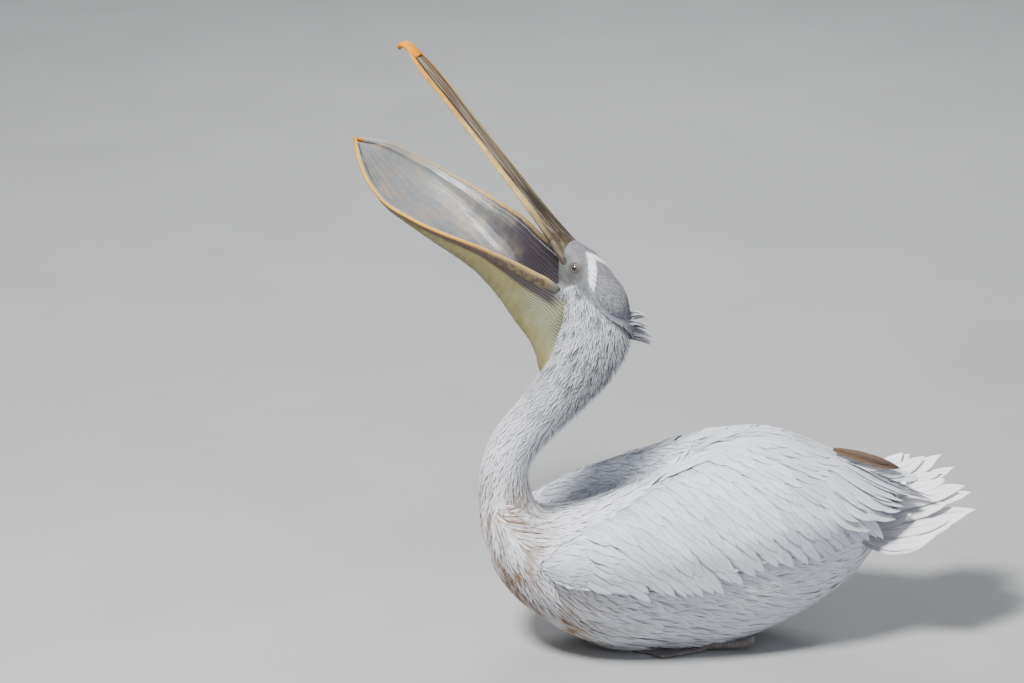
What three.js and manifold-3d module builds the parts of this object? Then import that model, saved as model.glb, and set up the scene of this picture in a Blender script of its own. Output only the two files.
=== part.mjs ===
// A large grey-white pelican resting on its belly with its bill thrown up and its pouch open.
// Life size, in millimetres, +Z up. The bird faces -X, its left side is -Y, and the origin is
// the middle of the flat of its belly, on the surface it rests on.
import * as THREE from "three";
import { mergeVertices } from "three/addons/utils/BufferGeometryUtils.js";
import Module from "manifold-3d";

const wasm = await Module();
wasm.setup();

// ---------------------------------------------------------------- driving sizes
const GAP = 0.35; // clearance between neighbouring pieces
const FLOOR_CUT = 6; // how far the rounded belly would reach below its flat

const HEAD = {
  centre: [-181.7, 20, 651.2], // middle of the cranium at the eyes
  bill_elevation: 47.8, // bill axis above the horizon, degrees
  bill_yaw: 31.6, // bill axis turned to the bird's right, degrees
  roll: 13.5, // crown leaning to the bird's left, degrees
};
const BILL = { base: 22, upper: 420, gape: 23.5, jaw: 439, hinge: [-13.5, 0, -50.6] };
const EYE = { radius: 9.5, along: 0, side: 24.5, up: 8 };
const TAIL = { root_x: 262, tip_x: 462, root_half: 70, tip_half: 119, feathers: 10 };
const FOOT = { toe: 116, tarsus: 74, ball: [8, 60], splay: 8 };

// ---------------------------------------------------------------- small helpers
const rad = Math.PI / 180;
const V = (a) => new THREE.Vector3(a[0], a[1], a[2]);
const mix = (a, b, t) => a + (b - a) * t;
const clamp = (x, a, b) => Math.min(b, Math.max(a, x));
const smooth = (a, b, x) => {
  const t = clamp((x - a) / (b - a), 0, 1);
  return t * t * (3 - 2 * t);
};

// Shape-preserving cubic through a short table of stations.
function table(xs, ys) {
  const n = xs.length,
    h = [],
    d = [],
    m = new Array(n).fill(0);
  for (let i = 0; i < n - 1; i++) {
    h.push(xs[i + 1] - xs[i]);
    d.push((ys[i + 1] - ys[i]) / h[i]);
  }
  m[0] = d[0];
  m[n - 1] = d[n - 2];
  for (let i = 1; i < n - 1; i++)
    if (d[i - 1] * d[i] > 0) {
      const a = 2 * h[i] + h[i - 1],
        b = h[i] + 2 * h[i - 1];
      m[i] = (a + b) / (a / d[i - 1] + b / d[i]);
    }
  return (x) => {
    x = clamp(x, xs[0], xs[n - 1]);
    let i = 0;
    while (i < n - 2 && x > xs[i + 1]) i++;
    const t = (x - xs[i]) / h[i],
      t2 = t * t,
      t3 = t2 * t;
    return (
      (2 * t3 - 3 * t2 + 1) * ys[i] +
      (t3 - 2 * t2 + t) * h[i] * m[i] +
      (-2 * t3 + 3 * t2) * ys[i + 1] +
      (t3 - t2) * h[i] * m[i + 1]
    );
  };
}

// A closed skin over (u round, v from pole to pole), on the grid of a sphere geometry.
function loft(fn, nu, nv) {
  const g = new THREE.SphereGeometry(1, nu, nv);
  const p = g.getAttribute("position"),
    uv = g.getAttribute("uv");
  for (let i = 0; i < p.count; i++) {
    const v = Math.round((1 - uv.getY(i)) * nv) / nv;
    const u = (Math.round(uv.getX(i) * nu - (v === 0 ? 0.5 : v === 1 ? -0.5 : 0)) % nu) / nu;
    const q = fn(v === 0 || v === 1 ? 0 : u, v);
    p.setXYZ(i, q[0], q[1], q[2]);
  }
  return g;
}

// A closed bent sheet over (q across, t along), on the grid of a box geometry. side is 0 or 1.
function sheet(fn, nq, nt) {
  const g = new THREE.BoxGeometry(1, 1, 1, nq, nt, 1);
  const p = g.getAttribute("position");
  for (let i = 0; i < p.count; i++) {
    const q = fn(p.getX(i) + 0.5, p.getY(i) + 0.5, p.getZ(i) > 0 ? 1 : 0);
    p.setXYZ(i, q[0], q[1], q[2]);
  }
  return g;
}

function solid(geometry) {
  const g = geometry.index ? geometry.clone() : geometry;
  for (const name of Object.keys(g.attributes)) if (name !== "position") g.deleteAttribute(name);
  const m = mergeVertices(g, 1e-3);
  const make = (tri) =>
    new wasm.Manifold(
      new wasm.Mesh({
        numProp: 3,
        vertProperties: new Float32Array(m.attributes.position.array),
        triVerts: tri,
      }),
    );
  const tri = new Uint32Array(m.index.array);
  const made = make(tri);
  if (made.volume() > 0) return made;
  for (let i = 0; i < tri.length; i += 3) [tri[i + 1], tri[i + 2]] = [tri[i + 2], tri[i + 1]];
  return make(tri);
}

function largest(s) {
  const parts = s.decompose();
  let best = parts[0];
  for (const q of parts) if (q.volume() > best.volume()) best = q;
  return best;
}

function geometryOf(s) {
  const m = s.getMesh(),
    n = m.numProp,
    v = new Float32Array(m.numVert * 3);
  for (let i = 0; i < m.numVert; i++) v.set(m.vertProperties.subarray(i * n, i * n + 3), i * 3);
  const g = new THREE.BufferGeometry();
  g.setAttribute("position", new THREE.BufferAttribute(v, 3));
  g.setIndex(new THREE.BufferAttribute(new Uint32Array(m.triVerts), 1));
  g.computeVertexNormals();
  return g;
}

// ---------------------------------------------------------------- head axes
const forward = V([
  -Math.cos(HEAD.bill_elevation * rad) * Math.cos(HEAD.bill_yaw * rad),
  Math.cos(HEAD.bill_elevation * rad) * Math.sin(HEAD.bill_yaw * rad),
  Math.sin(HEAD.bill_elevation * rad),
]);
const level = V([0, 0, 1]).cross(forward).normalize(); // the bird's left, before the roll
const crown = forward.clone().cross(level).normalize().applyAxisAngle(forward, -HEAD.roll * rad);
const left = crown.clone().cross(forward).normalize();
const headPoint = (a, s, h) =>
  V(HEAD.centre)
    .addScaledVector(forward, a)
    .addScaledVector(left, s)
    .addScaledVector(crown, h)
    .toArray();
const jawForward = forward
  .clone()
  .multiplyScalar(Math.cos(BILL.gape * rad))
  .addScaledVector(crown, -Math.sin(BILL.gape * rad));
const jawUp = crown
  .clone()
  .multiplyScalar(Math.cos(BILL.gape * rad))
  .addScaledVector(forward, Math.sin(BILL.gape * rad));
const hinge = V(headPoint(...BILL.hinge));
const jawPoint = (a, s, h) =>
  hinge
    .clone()
    .addScaledVector(jawForward, a)
    .addScaledVector(left, s)
    .addScaledVector(jawUp, h)
    .toArray();

// ---------------------------------------------------------------- trunk
const TRUNK = { front: -353, rear: 322 };
const trunkTop = table(
  [-353, -346, -330, -300, -262, -225, -185, -150, -100, -50, 0, 40, 70, 110, 160, 200, 250, 290, 322],
  [250, 274, 280, 268, 246, 234, 236, 246, 264, 284, 308, 326, 336, 340, 326, 304, 268, 234, 206],
);
const trunkBottom = table(
  [-353, -349, -340, -320, -288, -244, -200, -150, -110, 40, 100, 164, 212, 268, 300, 322],
  [236, 206, 164, 121, 82, 47, 20, 1, -FLOOR_CUT, -FLOOR_CUT, 7, 34, 60, 101, 138, 180],
);
const trunkHalf = table(
  [-353, -347, -334, -310, -275, -230, -180, -120, -40, 60, 130, 190, 240, 280, 305, 322],
  [0, 44, 72, 96, 116, 131, 140, 145, 146, 145, 136, 118, 94, 68, 46, 24],
);
const trunkWaist = table([-353, -300, -200, 0, 150, 268, 322], [238, 204, 158, 150, 166, 186, 196]);
function trunkAt(u, v, grow = 0) {
  const ease = 0.5 - 0.5 * Math.cos(Math.PI * v);
  const x = mix(TRUNK.front - grow, TRUNK.rear + grow, mix(v, ease, 0.8));
  if (v === 0 || v === 1) return [x, 0, trunkWaist(x)];
  const a = u * 2 * Math.PI,
    c = Math.cos(a),
    s = Math.sin(a),
    zc = trunkWaist(x),
    top = trunkTop(x) - zc,
    low = zc - trunkBottom(x);
  const y = c * (trunkHalf(x) + grow);
  const z = zc + (s > 0 ? Math.pow(s, 0.92) * (top + grow) : s * (low + grow));
  return [x, y, z];
}

// ---------------------------------------------------------------- neck
const neckCurve = new THREE.CatmullRomCurve3(
  [
    [-262, 0, 168],
    [-289, 0, 204],
    [-304, 0, 242],
    [-309, 0, 282],
    [-306, 0, 322],
    [-289, 0, 362],
    [-259, 0, 398],
    [-229, 0, 431],
    [-200, 0, 467],
    [-174, 0, 508],
    [-158, 2, 552],
    [-162, 9, 598],
    [-178, 15, 634],
  ].map(V),
  false,
  "centripetal",
);
const neckSide = table([0, 0.1, 0.2, 0.32, 0.46, 0.58, 0.7, 0.8, 0.9, 1], [66, 60, 50, 43, 41, 42, 44, 42, 36, 26]);
const neckDeep = table([0, 0.1, 0.2, 0.32, 0.46, 0.58, 0.7, 0.8, 0.9, 1], [66, 58, 48, 42, 41, 45, 54, 59, 56, 34]);
function neckAt(u, v, grow = 0, from = 0, to = 1) {
  const w = mix(from, to, v),
    p = neckCurve.getPoint(w),
    t = neckCurve.getTangent(w),
    side = V([0, -1, 0]),
    deep = t.clone().cross(side).normalize();
  side.copy(deep).cross(t).normalize();
  const cap = v === 0 || v === 1 ? 0 : 1,
    a = u * 2 * Math.PI;
  return p
    .addScaledVector(side, cap * Math.cos(a) * (neckSide(w) + grow))
    .addScaledVector(deep, cap * Math.sin(a) * (neckDeep(w) + grow))
    .toArray();
}

// ---------------------------------------------------------------- head
const headSide = table([-112, -104, -84, -55, -25, 0, 18, 32, 42], [0, 16, 28, 33, 33, 30, 26.5, 23, 15]);
const headTop = table([-112, -104, -84, -55, -25, 0, 18, 32, 42], [4, 15, 26, 31, 32, 29, 23.5, 18, 11]);
const headLow = table([-112, -104, -84, -55, -25, 0, 18, 32, 42], [8, 28, 50, 62, 64, 58, 40, 22, 10]);
function headAt(u, v, grow = 0) {
  const a = mix(-112 - grow, 42 + grow, mix(v, 0.5 - 0.5 * Math.cos(Math.PI * v), 0.6));
  if (v === 0 || v === 1) return headPoint(a, 0, 0);
  const t = u * 2 * Math.PI,
    s = Math.sin(t),
    h = s > 0 ? headTop(a) : headLow(a);
  return headPoint(a, Math.cos(t) * (headSide(a) + grow), s * (h + grow));
}

// ---------------------------------------------------------------- bill
const upperHalf = table([0, 0.06, 0.16, 0.35, 0.55, 0.75, 0.88, 0.95, 1], [26, 23.5, 20.5, 18.6, 17.8, 18, 17.6, 14, 9.5]);
const upperTop = table([0, 0.06, 0.16, 0.35, 0.6, 0.85, 1], [16, 13, 10, 7.5, 6, 5.2, 4.5]);
const upperLow = table([0, 0.06, 0.16, 0.35, 0.6, 0.85, 1], [19, 14.5, 9.5, 6.4, 5, 4.4, 4]);
const upperLine = table([0, 0.25, 0.5, 0.75, 1], [-3, -1.5, -0.5, -1, -4]);
function upperAt(u, v, grow = 0) {
  const t = mix(-0.03, 1, mix(v, 0.5 - 0.5 * Math.cos(Math.PI * v), 0.35)),
    a = BILL.base + clamp(t, -1, 1) * BILL.upper,
    w = clamp(t, 0, 1),
    h0 = upperLine(w);
  if (v === 0 || v === 1) return headPoint(a, 0, h0);
  const c = Math.cos(u * 2 * Math.PI),
    s = Math.sin(u * 2 * Math.PI),
    ridge = s > 0 ? 1 - 0.25 * Math.abs(c) : 1 - 0.45 * Math.pow(s, 2) * (1 - Math.abs(c));
  return headPoint(
    a,
    Math.sign(c) * Math.pow(Math.abs(c), 0.8) * (upperHalf(w) + grow),
    h0 + s * ridge * ((s > 0 ? upperTop(w) : upperLow(w)) + grow),
  );
}
// The nail: a hook over the tip, turning down.
const nailCurve = new THREE.CatmullRomCurve3(
  [
    [BILL.base + BILL.upper - 20, 0, -2],
    [BILL.base + BILL.upper - 4, 0, -2.5],
    [BILL.base + BILL.upper + 8, 0, -6],
    [BILL.base + BILL.upper + 13, 0, -14],
    [BILL.base + BILL.upper + 12, 0, -25],
  ].map((q) => V(headPoint(...q))),
);
const nailHalf = table([0, 0.2, 0.45, 0.7, 0.9, 1], [7.5, 9.6, 9, 6.4, 3.8, 1.4]);
function nailAt(u, v, grow = 0) {
  const w = v,
    p = nailCurve.getPoint(w),
    t = nailCurve.getTangent(w),
    up = left.clone().cross(t).normalize(),
    cap = v === 0 || v === 1 ? 0 : 1;
  return p
    .addScaledVector(left, cap * Math.cos(u * 2 * Math.PI) * (nailHalf(w) + grow))
    .addScaledVector(up, cap * Math.sin(u * 2 * Math.PI) * (mix(6.6, 3.6, w) + grow))
    .toArray();
}

// The lower jaw's two straps, bowed apart and joined at the tip. t is 0 at the hinge, 1 at the tip.
const jawHalf = table(
  [0, 0.06, 0.12, 0.2, 0.3, 0.4, 0.5, 0.6, 0.7, 0.8, 0.87, 0.92, 0.96, 0.985, 1],
  [33, 35, 39, 45, 55.5, 62.5, 68.5, 72, 72.5, 62.7, 49, 34, 18, 7, 0],
);
const jawSag = table([0, 0.12, 0.3, 0.4, 0.5, 0.6, 0.7, 0.8, 0.87, 0.92, 1], [6, 3, 3, -1, -7, -11.5, -15, -12.5, -6.5, -2, 0]);
const strapTall = table([0, 0.1, 0.3, 0.5, 0.75, 1], [13, 15, 13, 8.5, 5, 4]);
const strapThick = table([0, 0.3, 0.75, 1], [4.4, 4, 3.4, 4.2]);
const strapLean = table([0, 0.25, 0.6, 1], [6, 14, 42, 60]); // top edge leaning out, degrees
function strapMid(t, side) {
  return [t * BILL.jaw, side * jawHalf(t), jawSag(t)];
}
function jawAt(u, v, grow = 0) {
  const run = mix(-1, 1, v), // -1 right hinge, 0 tip, 1 left hinge
    side = run < 0 ? -1 : 1,
    t = 1 - Math.pow(Math.abs(run), 0.8),
    m = strapMid(Math.max(t, 0), side);
  if (v === 0 || v === 1) return jawPoint(-3 - grow, m[1], m[2]);
  const lean = strapLean(t) * rad,
    s0 = strapMid(clamp(t + 0.004, 0, 1), side),
    s1 = strapMid(clamp(t - 0.004, 0, 1), side),
    d = [s0[0] - s1[0], s0[1] - s1[1]],
    len = Math.hypot(d[0], d[1]) || 1,
    blend = smooth(0.93, 1, t);
  // outward normal in the jaw's plane, and the strap's own upward direction
  let ox = (-side * d[1]) / len,
    oy = (side * d[0]) / len;
  if (side < 0) {
    ox = (side * d[1]) / len;
    oy = (side * d[0]) / len;
  }
  ox = mix(side * -1 * (d[1] / len), 1, blend);
  oy = mix(side * (d[0] / len), 0, blend);
  const ol = Math.hypot(ox, oy) || 1;
  ox /= ol;
  oy /= ol;
  const c = Math.cos(u * 2 * Math.PI),
    s = Math.sin(u * 2 * Math.PI),
    tall = (strapTall(t) + grow) * s,
    thick = (strapThick(t) + grow) * c,
    out = tall * Math.sin(lean) + thick * Math.cos(lean),
    up = tall * Math.cos(lean) - thick * Math.sin(lean);
  return jawPoint(m[0] + ox * out, m[1] + oy * out, m[2] + up);
}

// The pouch: a thin bag slung from strap to strap. q is 0 at the left edge, 0.5 on the keel and 1
// at the right edge; near the throat the keel swings back under the neck.
const POUCH = { rear: -0.17, front: 0.972, skin: 2.6 };
const pouchDeep = table(
  [-0.17, -0.074, -0.036, 0.03, 0.115, 0.204, 0.282, 0.342, 0.437, 0.52, 0.6, 0.7, 0.8, 0.9, 0.96, 1],
  [138, 128, 119, 110, 103, 89, 75, 66, 55, 46, 37, 28, 20, 12, 8, 6],
);
const pouchSwing = table([-0.17, -0.074, -0.036, 0.03, 0.115, 0.204, 0.282, 0.342, 0.52], [84, 66, 54, 38, 24, 12, 6, 3, 0]);
function pouchAt(q, t01, side) {
  const t = mix(POUCH.rear, POUCH.front, t01),
    inset = side * POUCH.skin,
    a = q * Math.PI,
    c = Math.cos(a),
    hang = Math.pow(Math.sin(a), 0.84),
    w = jawHalf(clamp(t, 0, 1)) - inset,
    d = pouchDeep(t) - inset;
  return jawPoint(
    t * BILL.jaw,
    w * Math.sign(c) * Math.pow(Math.abs(c), 0.84) + pouchSwing(t) * hang,
    jawSag(clamp(t, 0, 1)) - d * hang,
  );
}

// ---------------------------------------------------------------- wings
const WING = { front: -270, hand: 296, rear: 396 };
const wx = [-270, -264, -254, -240, -215, -172, -130, -90, -50, 0, 40, 110, 150, 200, 250, 300, 350, 398];
const wingRidgeY = table(wx, [136, 132, 127, 122, 120, 112, 98, 78, 55, 33, 20, 11, 9, 9, 13, 20, 30, 46]);
const wingRidgeZ = table(wx, [192, 204, 216, 228, 243, 264, 283, 301, 318, 337, 348, 353, 345, 323, 299, 276, 256, 238]);
const wingBulgeY = table(wx, [138, 143, 147, 150, 155, 160, 162, 163, 163, 161, 158, 151, 144, 130, 109, 86, 64, 48]);
const wingBulgeZ = table(wx, [190, 190, 190, 191, 193, 199, 205, 211, 217, 225, 231, 240, 243, 244, 244, 242, 238, 234]);
const wingEdgeY = table(wx, [136, 139, 142, 145, 148, 152, 155, 157, 158, 157, 155, 149, 144, 131, 111, 89, 66, 48]);
const wingEdgeZ = table(wx, [187, 176, 166, 157, 148, 146, 148, 150, 155, 161, 170, 187, 195, 204, 214, 221, 226, 231]);
const wingCoreY = table(wx, [112, 106, 98, 90, 84, 77, 70, 64, 58, 54, 52, 50, 50, 50, 48, 46, 46, 46]);
const wingCoreZ = table(wx, [186, 186, 187, 188, 189, 192, 197, 202, 206, 210, 212, 214, 214, 214, 216, 220, 224, 232]);
const wingDepth = table(wx, [0.9, 0.86, 0.8, 0.72, 0.64, 0.56, 0.52, 0.5, 0.5, 0.5, 0.5, 0.5, 0.5, 0.5, 0.46, 0.4, 0.4, 0.4]);
// One wing section's outer line: q is 0 inside the top roll, 1 at the lower edge.
function wingLine(x, q) {
  const ry = wingRidgeY(x),
    rz = wingRidgeZ(x),
    by = wingBulgeY(x),
    bz = wingBulgeZ(x),
    ey = wingEdgeY(x),
    ez = wingEdgeZ(x),
    drop = mix(34, 14, smooth(-40, 90, x)) * smooth(-270, -235, x),
    inner = [ry - mix(17, 9, smooth(-60, 60, x)), rz - drop];
  const pts = [inner, [ry, rz], [mix(ry, by, 0.62), mix(rz, bz, 0.3)], [by, bz], [ey, ez]].map((p) => V([x, p[0], p[1]]));
  return new THREE.CatmullRomCurve3(pts, false, "centripetal").getPoint(q).toArray();
}
function wingAt(u, v, side, grow = 0) {
  const x = mix(WING.front - grow, WING.hand + 40, 0.93 * (1 - Math.pow(1 - v, 1.1)) * Math.pow(v, 0.65) + 0.07 * v);
  if (v === 0) return [x, side * wingBulgeY(x), wingBulgeZ(x)];
  if (v === 1) return [x, side * 66, 240];
  const cy = wingCoreY(x),
    cz = wingCoreZ(x),
    k = wingDepth(x),
    outer = u <= 0.6,
    q = outer ? u / 0.6 : 1 - (u - 0.6) / 0.4,
    p = wingLine(x, q),
    thin = outer ? 0 : k * Math.pow(Math.sin(Math.PI * clamp(q * 0.96 + 0.02, 0.02, 0.98)), 0.55),
    g = grow / (Math.hypot(p[1] - cy, p[2] - cz) || 1);
  return [x, side * (mix(p[1], cy, thin) + (p[1] - cy) * g), mix(p[2], cz, thin) + (p[2] - cz) * g];
}

// The wing's hand: the long quills beyond the closed wing, lying over one another in pointed steps.
const QUILLS = 6;
function handAt(q, t, side, inner, grow = 0) {
  const cell = q * QUILLS,
    part = Math.abs(2 * (cell - Math.floor(Math.min(cell, QUILLS - 1e-6))) - 1),
    step = 1 - 0.15 * part - 0.5 * Math.pow(Math.abs(q - 0.4), 1.5),
    x = mix(WING.hand, WING.hand + (WING.rear + 4 - WING.hand) * step, t),
    p = wingLine(mix(x, WING.hand, 0.25), mix(0.06, 0.97, q)),
    thick = mix(13, 1.6, Math.pow(t, 0.6)) * Math.pow(Math.sin(Math.PI * mix(0.12, 0.88, q)), 0.6) + 0.8,
    cy = wingCoreY(x),
    cz = wingCoreZ(x),
    len = Math.hypot(p[1] - cy, p[2] - cz) || 1,
    k = (inner ? -Math.min(thick, 0.8 * len) : 0) / len;
  return [x, side * (p[1] + (p[1] - cy) * k), p[2] + (p[2] - cz) * k];
}

// ---------------------------------------------------------------- tail
// A fan of broad feathers, the left side lower than the right, its middle lifted.
function tailAt(q, t, upper) {
  const k = mix(-1, 1, q), // -1 left, 1 right
    cell = q * TAIL.feathers,
    part = Math.abs(2 * (cell - Math.floor(Math.min(cell, TAIL.feathers - 1e-6))) - 1),
    notch = 20 * Math.pow(part, 3),
    tipX = TAIL.tip_x - 66 * k * k - 10 * Math.sin(5 * k + 1) - notch,
    x = mix(TAIL.root_x + 12 * k * k, tipX, t),
    y = mix(TAIL.root_half, TAIL.tip_half, t) * k,
    bow = 14 * Math.sin(Math.PI * Math.min(1, 0.5 + 0.5 * t)) * (1 - k * k),
    sag = 16 * Math.sin(Math.PI * t) * Math.max(0, -k),
    z = mix(186 + 8 * k, 240 + 36 * k - 8 * k * k + 5 * Math.cos(9 * k + 1), Math.pow(t, 0.95)) + bow - sag,
    thick = mix(15 * (1 - 0.6 * k * k), 1.2, Math.pow(t, 0.5));
  return [x, y, z + (upper ? thick : -thick)];
}

// ---------------------------------------------------------------- feet
// A webbed foot, toes forward, flat on the surface under the belly.
function footShape() {
  const s = new THREE.Shape(),
    L = FOOT.toe;
  s.moveTo(6, -9);
  s.lineTo(-0.3 * L, -26);
  s.lineTo(-0.56 * L, -38);
  s.lineTo(-0.62 * L, -33);
  s.quadraticCurveTo(-0.68 * L, -20, -0.9 * L, -12);
  s.lineTo(-0.98 * L, -6);
  s.lineTo(-0.93 * L, 1);
  s.quadraticCurveTo(-0.76 * L, 9, -0.74 * L, 27);
  s.lineTo(-0.76 * L, 34);
  s.lineTo(-0.69 * L, 36);
  s.quadraticCurveTo(-0.36 * L, 26, -0.12 * L, 34);
  s.lineTo(-0.04 * L, 38);
  s.lineTo(0.02 * L, 33);
  s.lineTo(11, 8);
  s.closePath();
  return s;
}
function footSolid(side, grow = 0) {
  const plate = new THREE.ExtrudeGeometry(footShape(), {
    depth: 4.6 + (grow ? 2 + grow : 0),
    bevelEnabled: true,
    bevelThickness: 1.2,
    bevelSize: 1.2,
    bevelOffset: -1.2 + grow,
    bevelSegments: 1,
    curveSegments: 3,
  });
  plate.translate(0, 0, grow ? -0.8 : 1.2);
  plate.scale(1, -side, 1);
  const shank = new THREE.CatmullRomCurve3([V([-14, 0, 6.5]), V([12, 0, 9.5]), V([44, 0, 9.5]), V([FOOT.tarsus, 0, 13]), V([FOOT.tarsus + 14, 0, 27])]);
  const girth = table([0, 0.18, 0.5, 0.82, 1], [5, 8.5, 7.2, 9, 8]);
  const leg = loft(
    (u, v) => {
      const p = shank.getPoint(v),
        t = shank.getTangent(v),
        s = V([0, 1, 0]),
        d = t.clone().cross(s).normalize(),
        cap = v === 0 || v === 1 ? 0 : 1;
      return p
        .addScaledVector(s, cap * Math.cos(u * 2 * Math.PI) * (girth(v) * 0.85 + grow))
        .addScaledVector(d, cap * Math.sin(u * 2 * Math.PI) * (girth(v) + grow))
        .toArray();
    },
    8,
    7,
  );
  for (const g of [plate, leg]) {
    g.rotateZ(side * FOOT.splay * rad);
    g.translate(FOOT.ball[0], side * FOOT.ball[1], 0);
  }
  return solid(plate).add(solid(leg));
}

// ---------------------------------------------------------------- crest
// A flat shaggy tuft hanging off the nape, in pointed locks. q runs down the nape, t out to the tips.
const CREST = { locks: 6, root: [-114, -2, 572], fall: [-96, -2, 522], reach: 54 };
function crestAt(q, t, face) {
  const cell = q * CREST.locks,
    part = Math.abs(2 * (cell - Math.floor(Math.min(cell, CREST.locks - 1e-6))) - 1),
    out = CREST.reach * (1 - 0.42 * q) * t * (1 - 0.35 * part),
    thick = mix(9, 1.1, Math.pow(t, 0.7)) * mix(0.6, 1, Math.sin(Math.PI * q));
  return [
    mix(CREST.root[0], CREST.fall[0], q) - 12 + out,
    CREST.root[1] - 4 * Math.sin(3 * q) * t + (face ? thick : -thick),
    mix(CREST.root[2], CREST.fall[2], q) - (0.22 + 0.1 * q) * out,
  ];
}

// ---------------------------------------------------------------- putting it together
const above = (s) => s.trimByPlane([0, 0, 1], 0); // keep what is above the surface
const TRUNK_GRID = [24, 18];
const grownTrunk = above(solid(loft((u, v) => trunkAt(u, v, GAP + 0.15), ...TRUNK_GRID)));
const out = {};

// Trunk, with room for the feet pressed up under it.
let trunk = above(solid(loft((u, v) => trunkAt(u, v), ...TRUNK_GRID)));
for (const side of [-1, 1]) trunk = trunk.subtract(footSolid(side, GAP + 0.1));
out.trunk = largest(trunk);
out.foot_left = above(footSolid(-1));
out.foot_right = above(footSolid(1));

// Neck, in two lengths parted by a plane, set into the trunk below and the head above.
const neckRaw = solid(loft((u, v) => neckAt(u, v), 16, 18));
const neckGrown = solid(loft((u, v) => neckAt(u, v, GAP + 0.1), 16, 18));
const headRaw = solid(loft((u, v) => headAt(u, v), 18, 12));
const headGrown = solid(loft((u, v) => headAt(u, v, GAP + 0.1), 18, 12));
const cutPoint = neckCurve.getPoint(0.5),
  cutAlong = neckCurve.getTangent(0.5);
const beyond = (s, sign) =>
  s.trimByPlane([sign * cutAlong.x, sign * cutAlong.y, sign * cutAlong.z], sign * cutPoint.dot(cutAlong) + GAP / 2);
const upperRaw = solid(loft((u, v) => upperAt(u, v), 14, 15));
const upperGrown = solid(loft((u, v) => upperAt(u, v, GAP + 0.1), 14, 15));
const jawRaw = solid(loft((u, v) => jawAt(u, v), 8, 42));
const jawGrown = solid(loft((u, v) => jawAt(u, v, GAP + 0.1), 8, 42));
out.neck_lower = largest(beyond(neckRaw, -1).subtract(grownTrunk));
out.neck_upper = largest(beyond(neckRaw, 1).subtract(headGrown).subtract(jawGrown));

// Wings over the trunk, clear of the neck and of each other, with the quills of the hand beyond.
const wingGrid = [20, 16];
const grownWings = [];
for (const [name, side] of [
  ["left", -1],
  ["right", 1],
]) {
  const wing = solid(loft((u, v) => wingAt(u, v, side), ...wingGrid))
    .subtract(grownTrunk)
    .subtract(neckGrown)
    .trimByPlane([0, side, 0], GAP / 2)
    .trimByPlane([-1, 0, 0], -WING.hand + GAP);
  out["wing_" + name] = largest(wing);
  const hand = solid(sheet((q, t, k) => handAt(q, t, side, k), QUILLS * 2, 3));
  out["quills_" + name] = largest(hand.subtract(grownTrunk).trimByPlane([0, side, 0], GAP / 2));
  grownWings.push(solid(loft((u, v) => wingAt(u, v, side, GAP + 0.1), ...wingGrid)).trimByPlane([-1, 0, 0], -WING.hand));
  grownWings.push(hand.translate([0, 0, -GAP - 0.1]).add(hand).add(hand.translate([GAP, 0, 0])));
}
let tail = solid(sheet(tailAt, TAIL.feathers * 3, 3)).subtract(grownTrunk);
for (const w of grownWings) tail = tail.subtract(w);
out.tail = largest(tail);

// Head, eyes and bill.
const eye = (side, grow) => {
  const g = new THREE.SphereGeometry(EYE.radius + grow, 10, 7);
  const p = headPoint(EYE.along, side * EYE.side, EYE.up);
  g.translate(p[0], p[1], p[2]);
  return solid(g);
};
out.head = largest(headRaw.subtract(eye(1, GAP)).subtract(eye(-1, GAP)).subtract(upperGrown).subtract(jawGrown));
out.eye_left = eye(1, 0);
out.eye_right = eye(-1, 0);
out.bill_nail = solid(loft((u, v) => nailAt(u, v, 0), 10, 8));
out.bill_upper = largest(upperRaw.subtract(solid(loft((u, v) => nailAt(u, v, GAP + 0.1), 10, 8))));
out.bill_lower = jawRaw;
out.pouch = largest(
  solid(sheet(pouchAt, 14, 12)).subtract(jawGrown).subtract(headGrown).subtract(neckGrown),
);
out.crest = largest(solid(sheet(crestAt, CREST.locks * 2, 3)).subtract(headGrown).subtract(neckGrown));

// ---------------------------------------------------------------- scene graph
const finish = {
  plumage: new THREE.MeshStandardMaterial({ color: 0xe4e5e8, roughness: 0.85, metalness: 0 }),
  grey_plumage: new THREE.MeshStandardMaterial({ color: 0xb9babf, roughness: 0.85, metalness: 0 }),
  quills: new THREE.MeshStandardMaterial({ color: 0xcfd0d4, roughness: 0.8, metalness: 0 }),
  bill_horn: new THREE.MeshStandardMaterial({ color: 0x8d8173, roughness: 0.5, metalness: 0 }),
  nail_horn: new THREE.MeshStandardMaterial({ color: 0xe8912c, roughness: 0.4, metalness: 0 }),
  pouch_skin: new THREE.MeshStandardMaterial({ color: 0xb3ab84, roughness: 0.55, metalness: 0 }),
  eye: new THREE.MeshStandardMaterial({ color: 0xd9cfc0, roughness: 0.1, metalness: 0 }),
  foot_skin: new THREE.MeshStandardMaterial({ color: 0x6a6c70, roughness: 0.6, metalness: 0 }),
};
const finishOf = {
  trunk: "plumage",
  neck_lower: "plumage",
  neck_upper: "plumage",
  head: "grey_plumage",
  crest: "grey_plumage",
  wing_left: "plumage",
  wing_right: "plumage",
  quills_left: "quills",
  quills_right: "quills",
  tail: "plumage",
  bill_upper: "bill_horn",
  bill_lower: "bill_horn",
  bill_nail: "nail_horn",
  pouch: "pouch_skin",
  eye_left: "eye",
  eye_right: "eye",
  foot_left: "foot_skin",
  foot_right: "foot_skin",
};
const pelican = new THREE.Group();
for (const [name, s] of Object.entries(out)) {
  const mesh = new THREE.Mesh(geometryOf(s), finish[finishOf[name]]);
  mesh.name = name;
  pelican.add(mesh);
}
export default pelican;
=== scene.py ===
import math

import bpy
import numpy as np
from mathutils import Matrix, Vector
from mathutils.bvhtree import BVHTree


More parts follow.
